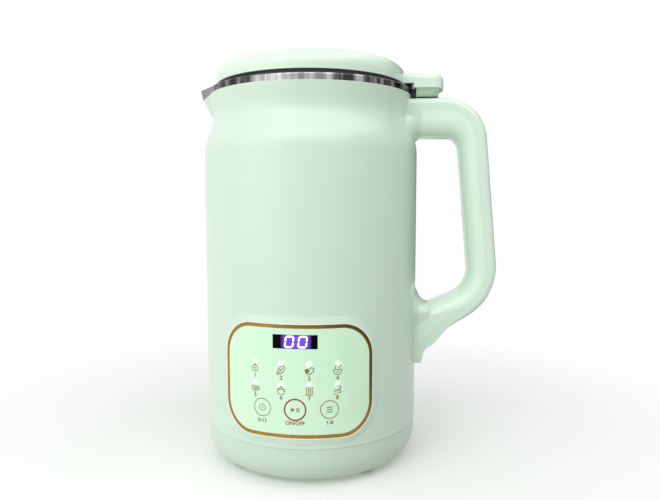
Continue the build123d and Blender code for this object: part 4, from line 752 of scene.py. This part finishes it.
for number, marks in enumerate(PICTURES.values()):
    row, column = divmod(number, len(COLUMNS))
    draw(marks, (COLUMNS[column], PICTURE_HEIGHTS[row]))
    gold_ink.text(str(number + 1), (COLUMNS[column], FIGURE_HEIGHTS[row]), FIGURE_SIZE)

left_key, middle_key, right_key = [(arc, KEY_HEIGHT) for arc in KEYS]

# The keys' rings and marks, in millimetres about each key's middle
KEY_RING = 4.85
CLOCK_RING = 1.75
CLOCK_HANDS = [(0, 1.1), (0, 0), (0.8, -0.5)]
LIST_RISES = (-1.3, 0.0, 1.3)
LIST_HALF_WIDTH = 1.6
START_RING = 5.7
START_RING_WIDTH = 0.8
START_RING_STEPS = 64
MARK_HALF_HEIGHT = 1.25
START_MARK = (-2.2, 0.1)
PAUSE_MARKS = ((0.8, 1.3), (1.8, 2.3))
WORDS = (("ON/OFF", middle_key[0], 37.6), ("0-12", left_key[0], 37.8), ("1-8", right_key[0], 37.8))
WORD_SIZE = 2.9

# Left key: a ring with a clock face
gold_ink.ring(left_key, KEY_RING, width=0.4)
gold_ink.ring(left_key, CLOCK_RING, width=0.34)
gold_ink.stroke(moved(left_key, CLOCK_HANDS), width=0.32)

# Right key: a ring with three lines
gold_ink.ring(right_key, KEY_RING, width=0.45)
for rise in LIST_RISES:
    gold_ink.stroke(moved(right_key, [(-LIST_HALF_WIDTH, rise), (LIST_HALF_WIDTH, rise)]), width=0.5)

# Middle key: a red ring with start and pause marks
red_ink = Print("start_key_ring", ink("red_ink", (150, 10, 24)), "gold_trim")
red_ink.ring(middle_key, START_RING, START_RING_WIDTH, START_RING_STEPS)
red_ink.done()
back, tip = START_MARK
gold_ink.polygon(moved(middle_key, [(back, MARK_HALF_HEIGHT), (back, -MARK_HALF_HEIGHT), (tip, 0)]))
for start, end in PAUSE_MARKS:
    gold_ink.polygon(moved(middle_key, [
        (start, -MARK_HALF_HEIGHT), (end, -MARK_HALF_HEIGHT),
        (end, MARK_HALF_HEIGHT), (start, MARK_HALF_HEIGHT),
    ]))

for words, arc, height in WORDS:
    gold_ink.text(words, (arc, height), WORD_SIZE)
gold_ink.done()

# Painted highlight: a pale line for the light caught by the gilded border's outer edge, on the seat's
# flat land
EDGE_MARGIN = 0.3
EDGE_WIDTH = 0.5
THIN_LIFT = 0.04
PANEL_HALF_ARC = 43.5
PANEL_HALF_HEIGHT = 30.7
PANEL_MIDDLE = 60.1
PANEL_CORNER = 18.0
CORNER_STEPS = 10
STRAIGHT_STEPS = 12


def rounded_path(margin):
    """The panel's outline, grown by a margin. Its long sides have steps that follow the curve."""
    radius = PANEL_CORNER + margin
    path = []
    for quarter, (side, up) in enumerate(((1, 1), (-1, 1), (-1, -1), (1, -1))):
        centre = (
            side * (PANEL_HALF_ARC - PANEL_CORNER),
            PANEL_MIDDLE + up * (PANEL_HALF_HEIGHT - PANEL_CORNER),
        )
        for step in range(CORNER_STEPS + 1):
            path.append(on_circle(radius, 90 * (quarter + step / CORNER_STEPS), centre))
        if up == side:
            start, height = path[-1]
            for step in range(1, STRAIGHT_STEPS):
                path.append((start - 2 * start * step / STRAIGHT_STEPS, height))
    return path


painted_highlight_ink = ink("painted_highlight_edge", (238, 248, 232), rough=0.3)
painted_highlight_edge = Print("panel_bright_edge", painted_highlight_ink, "gold_trim", THIN_LIFT)
painted_highlight_edge.stroke(rounded_path(EDGE_MARGIN), EDGE_WIDTH, closed=True)
painted_highlight_edge.done()

# Two lit noughts of six bars each, slanted
DIGIT_OFFSET = 3.6
DIGIT_HALF_WIDTH = 2.1
DIGIT_HALF_HEIGHT = 2.85
DIGIT_CORNERS = [
    (side * DIGIT_HALF_WIDTH, up * DIGIT_HALF_HEIGHT)
    for side, up in ((-1, 0), (-1, 1), (1, 1), (1, 0), (1, -1), (-1, -1))
]
BAR_HALF_WIDTH = 0.475
BAR_GAP = 0.12
SLANT = 0.12

digit_ink = ink("digit_light", (250, 244, 255), strength=1.0)
digits = Print("display_digits", digit_ink, "display_glass", THIN_LIFT)


def bar(centre, start, end):
    """One lit bar of a digit with pointed ends, in the digit's own slanted axes."""
    unit = Vector((end[0] - start[0], end[1] - start[1])).normalized()
    side = Vector((-unit.y, unit.x)) * BAR_HALF_WIDTH
    point = unit * BAR_HALF_WIDTH
    first = Vector(start) + unit * BAR_GAP
    last = Vector(end) - unit * BAR_GAP
    outline = [
        first, first + point - side, last - point - side,
        last, last - point + side, first + point + side,
    ]
    digits.polygon([(centre[0] + p.x + SLANT * p.y, centre[1] + p.y) for p in outline])


for centre_arc in (DIGIT_SHIFT - DIGIT_OFFSET, DIGIT_SHIFT + DIGIT_OFFSET):
    for here, there in zip(DIGIT_CORNERS, DIGIT_CORNERS[1:] + DIGIT_CORNERS[:1]):
        bar((centre_arc, DISPLAY_HEIGHT), here, there)
digits.done()


def prism(outline, low, high):
    """A block on an outline between two heights, in millimetres."""
    shape = bmesh.new()
    bottom, top = [
        [shape.verts.new((x * MM, y * MM, z * MM)) for x, y in outline]
        for z in (low, high)
    ]
    shape.faces.new(bottom[::-1])
    shape.faces.new(top)
    for index in range(len(outline)):
        after = (index + 1) % len(outline)
        shape.faces.new((bottom[index], bottom[after], top[after], top[index]))
    return shape


def framed(outer, inner, low, high):
    """A flat frame with a rectangular hole, each rectangle given as two corners in millimetres."""
    shape = bmesh.new()
    rings = []
    for ((x0, y0), (x1, y1)), z in ((outer, low), (outer, high), (inner, high), (inner, low)):
        corners = ((x0, y0), (x1, y0), (x1, y1), (x0, y1))
        rings.append([shape.verts.new((x * MM, y * MM, z * MM)) for x, y in corners])
    for index in range(4):
        after = (index + 1) % 4
        for first, second in zip(rings, rings[1:] + rings[:1]):
            shape.faces.new((first[index], first[after], second[after], second[index]))
    return shape


def side_arc(radius, turns):
    """Points on a circle round the body's axis, by their turns from the handle in degrees."""
    return [on_circle(radius, turn) for turn in turns]


# Rubber lip round the coupler, under the tab and on the block's inner side, and its heel, under the
# lid's edge behind the tab. Both are partly a real seal and partly painted shade, dark where these gaps
# lie in shade
LIP_TURNS = range(-8, 9, 2)
LIP_RADIUS = 61.9
LIP_BLOCK_CORNERS = [(63.9, 8.6), (63.9, -8.6)]
LIP_HEIGHTS = (217.2, 222.3)
LIP_EDGE = 0.2
HEEL_RADIUS = 61.8
HEEL_INNER_RADIUS = 57.8
HEEL_HEIGHTS = (222.5, 225.2)
seal = finishes["seal_rubber"]

lip = prism(side_arc(LIP_RADIUS, LIP_TURNS) + LIP_BLOCK_CORNERS, *LIP_HEIGHTS)
add_piece("coupler_lip", lip, seal, "seal_rubber", "lid", LIP_EDGE)
heel_outline = side_arc(HEEL_RADIUS, LIP_TURNS) + side_arc(HEEL_INNER_RADIUS, reversed(LIP_TURNS))
heel = prism(heel_outline, *HEEL_HEIGHTS)
add_piece("coupler_lip_heel", heel, seal, "seal_rubber", "lid", LIP_EDGE)

# Thin rubber mat round the coupler's socket, on the handle under the tab; partly a real seal and partly
# painted shade, dark in the gap below the tab's block
MAT_OUTSIDE = ((64.6, -9.8), (76.8, 9.8))
MAT_HOLE = ((66.9, -7.7), (75.7, 7.7))
MAT_HEIGHTS = (216.45, 217.35)
mat = framed(MAT_OUTSIDE, MAT_HOLE, *MAT_HEIGHTS)
add_piece("coupler_mat", mat, seal, "seal_rubber", "body")

# Floor, in metres
FLOOR_CELLS = 24
FLOOR_HALF_SIZE = 3.0
FLOOR_HEIGHT = -0.0002
FLOOR_FADE = (0.10, 0.34)


def white_floor():
    """A pale floor that fades to plain white away from the object."""
    shader = Shader("floor")
    tone = shader.noise(3, detail=4)
    shader.bump(shader.noise(500), strength=0.03, distance=0.0003)
    colour = shader.blend(shader.spread(tone, 0, 1), linear((246, 246, 244)), linear((250, 250, 248)))
    material = shader.finish(colour, shader.spread(tone, 0.55, 0.62))
    _, _, away = shader.around()
    far = shader.spread(away, 0.0, 1.0, *FLOOR_FADE)
    white = shader.new("ShaderNodeEmission")
    white.inputs["Color"].default_value = WHITE
    fade = shader.product(far, shader.shown())
    faded = shader.between(fade, shader.surface.outputs["BSDF"], white.outputs["Emission"])
    shader.link(faded, shader.output.inputs["Surface"])
    return material


floor_shape = bmesh.new()
bmesh.ops.create_grid(
    floor_shape, x_segments=FLOOR_CELLS, y_segments=FLOOR_CELLS, size=FLOOR_HALF_SIZE,
)
floor = made_from("floor", floor_shape, white_floor())
floor.location.z = FLOOR_HEIGHT
floor.visible_diffuse = False

# The room's light as shares of white, from both sides of the x, y and z axes
ROOM_LIGHT = (
    {"right": 0.08, "left": 0.85},
    {"back": 0.6, "front": 0.52},
    {"top": 0.3, "low": 0.36},
)
ROOM_TINT = (0.96, 1.0, 0.97, 1)


def room():
    """A world whose light differs from side to side, plain white to the camera and in mirrors."""
    scene.world = bpy.data.worlds.new("room")
    scene.world.use_nodes = True
    tree = Tree(scene.world.node_tree)
    directions = tree.split(tree.new("ShaderNodeTexCoord").outputs["Generated"])
    total = 0.0
    for direction, strengths in zip(directions, ROOM_LIGHT):
        for sign, strength in zip((1.0, -1.0), strengths.values()):
            facing = tree.larger(tree.product(direction, sign), 0.0)
            total = tree.calc("MULTIPLY_ADD", facing, strength, total)
    light = tree.new("ShaderNodeBackground")
    light.inputs["Color"].default_value = ROOM_TINT
    tree.link(total, light.inputs["Strength"])
    plain = tree.new("ShaderNodeBackground")
    plain.inputs["Color"].default_value = WHITE
    plain.inputs["Strength"].default_value = 1.0
    out = tree.new("ShaderNodeOutputWorld")
    tree.link(tree.between(tree.shown(), light.outputs[0], plain.outputs[0]), out.inputs["Surface"])


room()

# Dark cloths beside the set, by the two ends of each on the floor, in metres
FLAGS = {
    "flag_right": ((0.66, 0.20), (0.50, 0.62)),
    "flag_behind": ((0.50, 0.64), (0.13, 0.84)),
}
FLAG_HEIGHT = 0.75


def dark_cloth(name):
    """Dull dark cloth with a coarse weave."""
    shader = Shader(name)
    weave = shader.spread(shader.noise(300), 0, 1)
    colour = shader.blend(weave, linear((34, 38, 35)), linear((48, 54, 50)))
    return shader.finish(colour, 0.9, Specular_IOR_Level=0.1)


def flag(name, near, far):
    """A cloth that darkens one side of what is glossy, and is seen in reflections alone."""
    cloth = bmesh.new()
    corners = ((*near, 0.0), (*far, 0.0), (*far, FLAG_HEIGHT), (*near, FLAG_HEIGHT))
    cloth.faces.new([cloth.verts.new(corner) for corner in corners])
    holder = made_from(name, cloth, dark_cloth(name))
    holder.visible_camera = False
    holder.visible_diffuse = False
    holder.visible_shadow = False


for name, ends in FLAGS.items():
    flag(name, *ends)

# Lamps: place, target, width and height in metres, and power in watts
LAMPS = {
    "key": ((-0.75, -0.75, 0.55), (0, 0, 0.13), (1.0, 1.2), 2.9),
    "window": ((0.10, -0.95, 0.95), (0.03, 0, 0.13), (1.9, 0.5), 6.2),
    "top": ((0.45, -0.15, 0.90), (0.03, 0, 0.18), (0.6, 0.6), 2.2),
}


def lamp(name, place, target, size, power):
    """A soft rectangular lamp aimed at a point."""
    data = bpy.data.lights.new(name, "AREA")
    data.shape = "RECTANGLE"
    data.size, data.size_y = size
    data.energy = power
    holder = bpy.data.objects.new(name, data)
    holder.location = place
    aim = Vector(target) - Vector(place)
    holder.rotation_euler = aim.to_track_quat("-Z", "Y").to_euler()
    scene.collection.objects.link(holder)


for name, settings in LAMPS.items():
    lamp(name, *settings)

scene.view_settings.view_transform = "Standard"
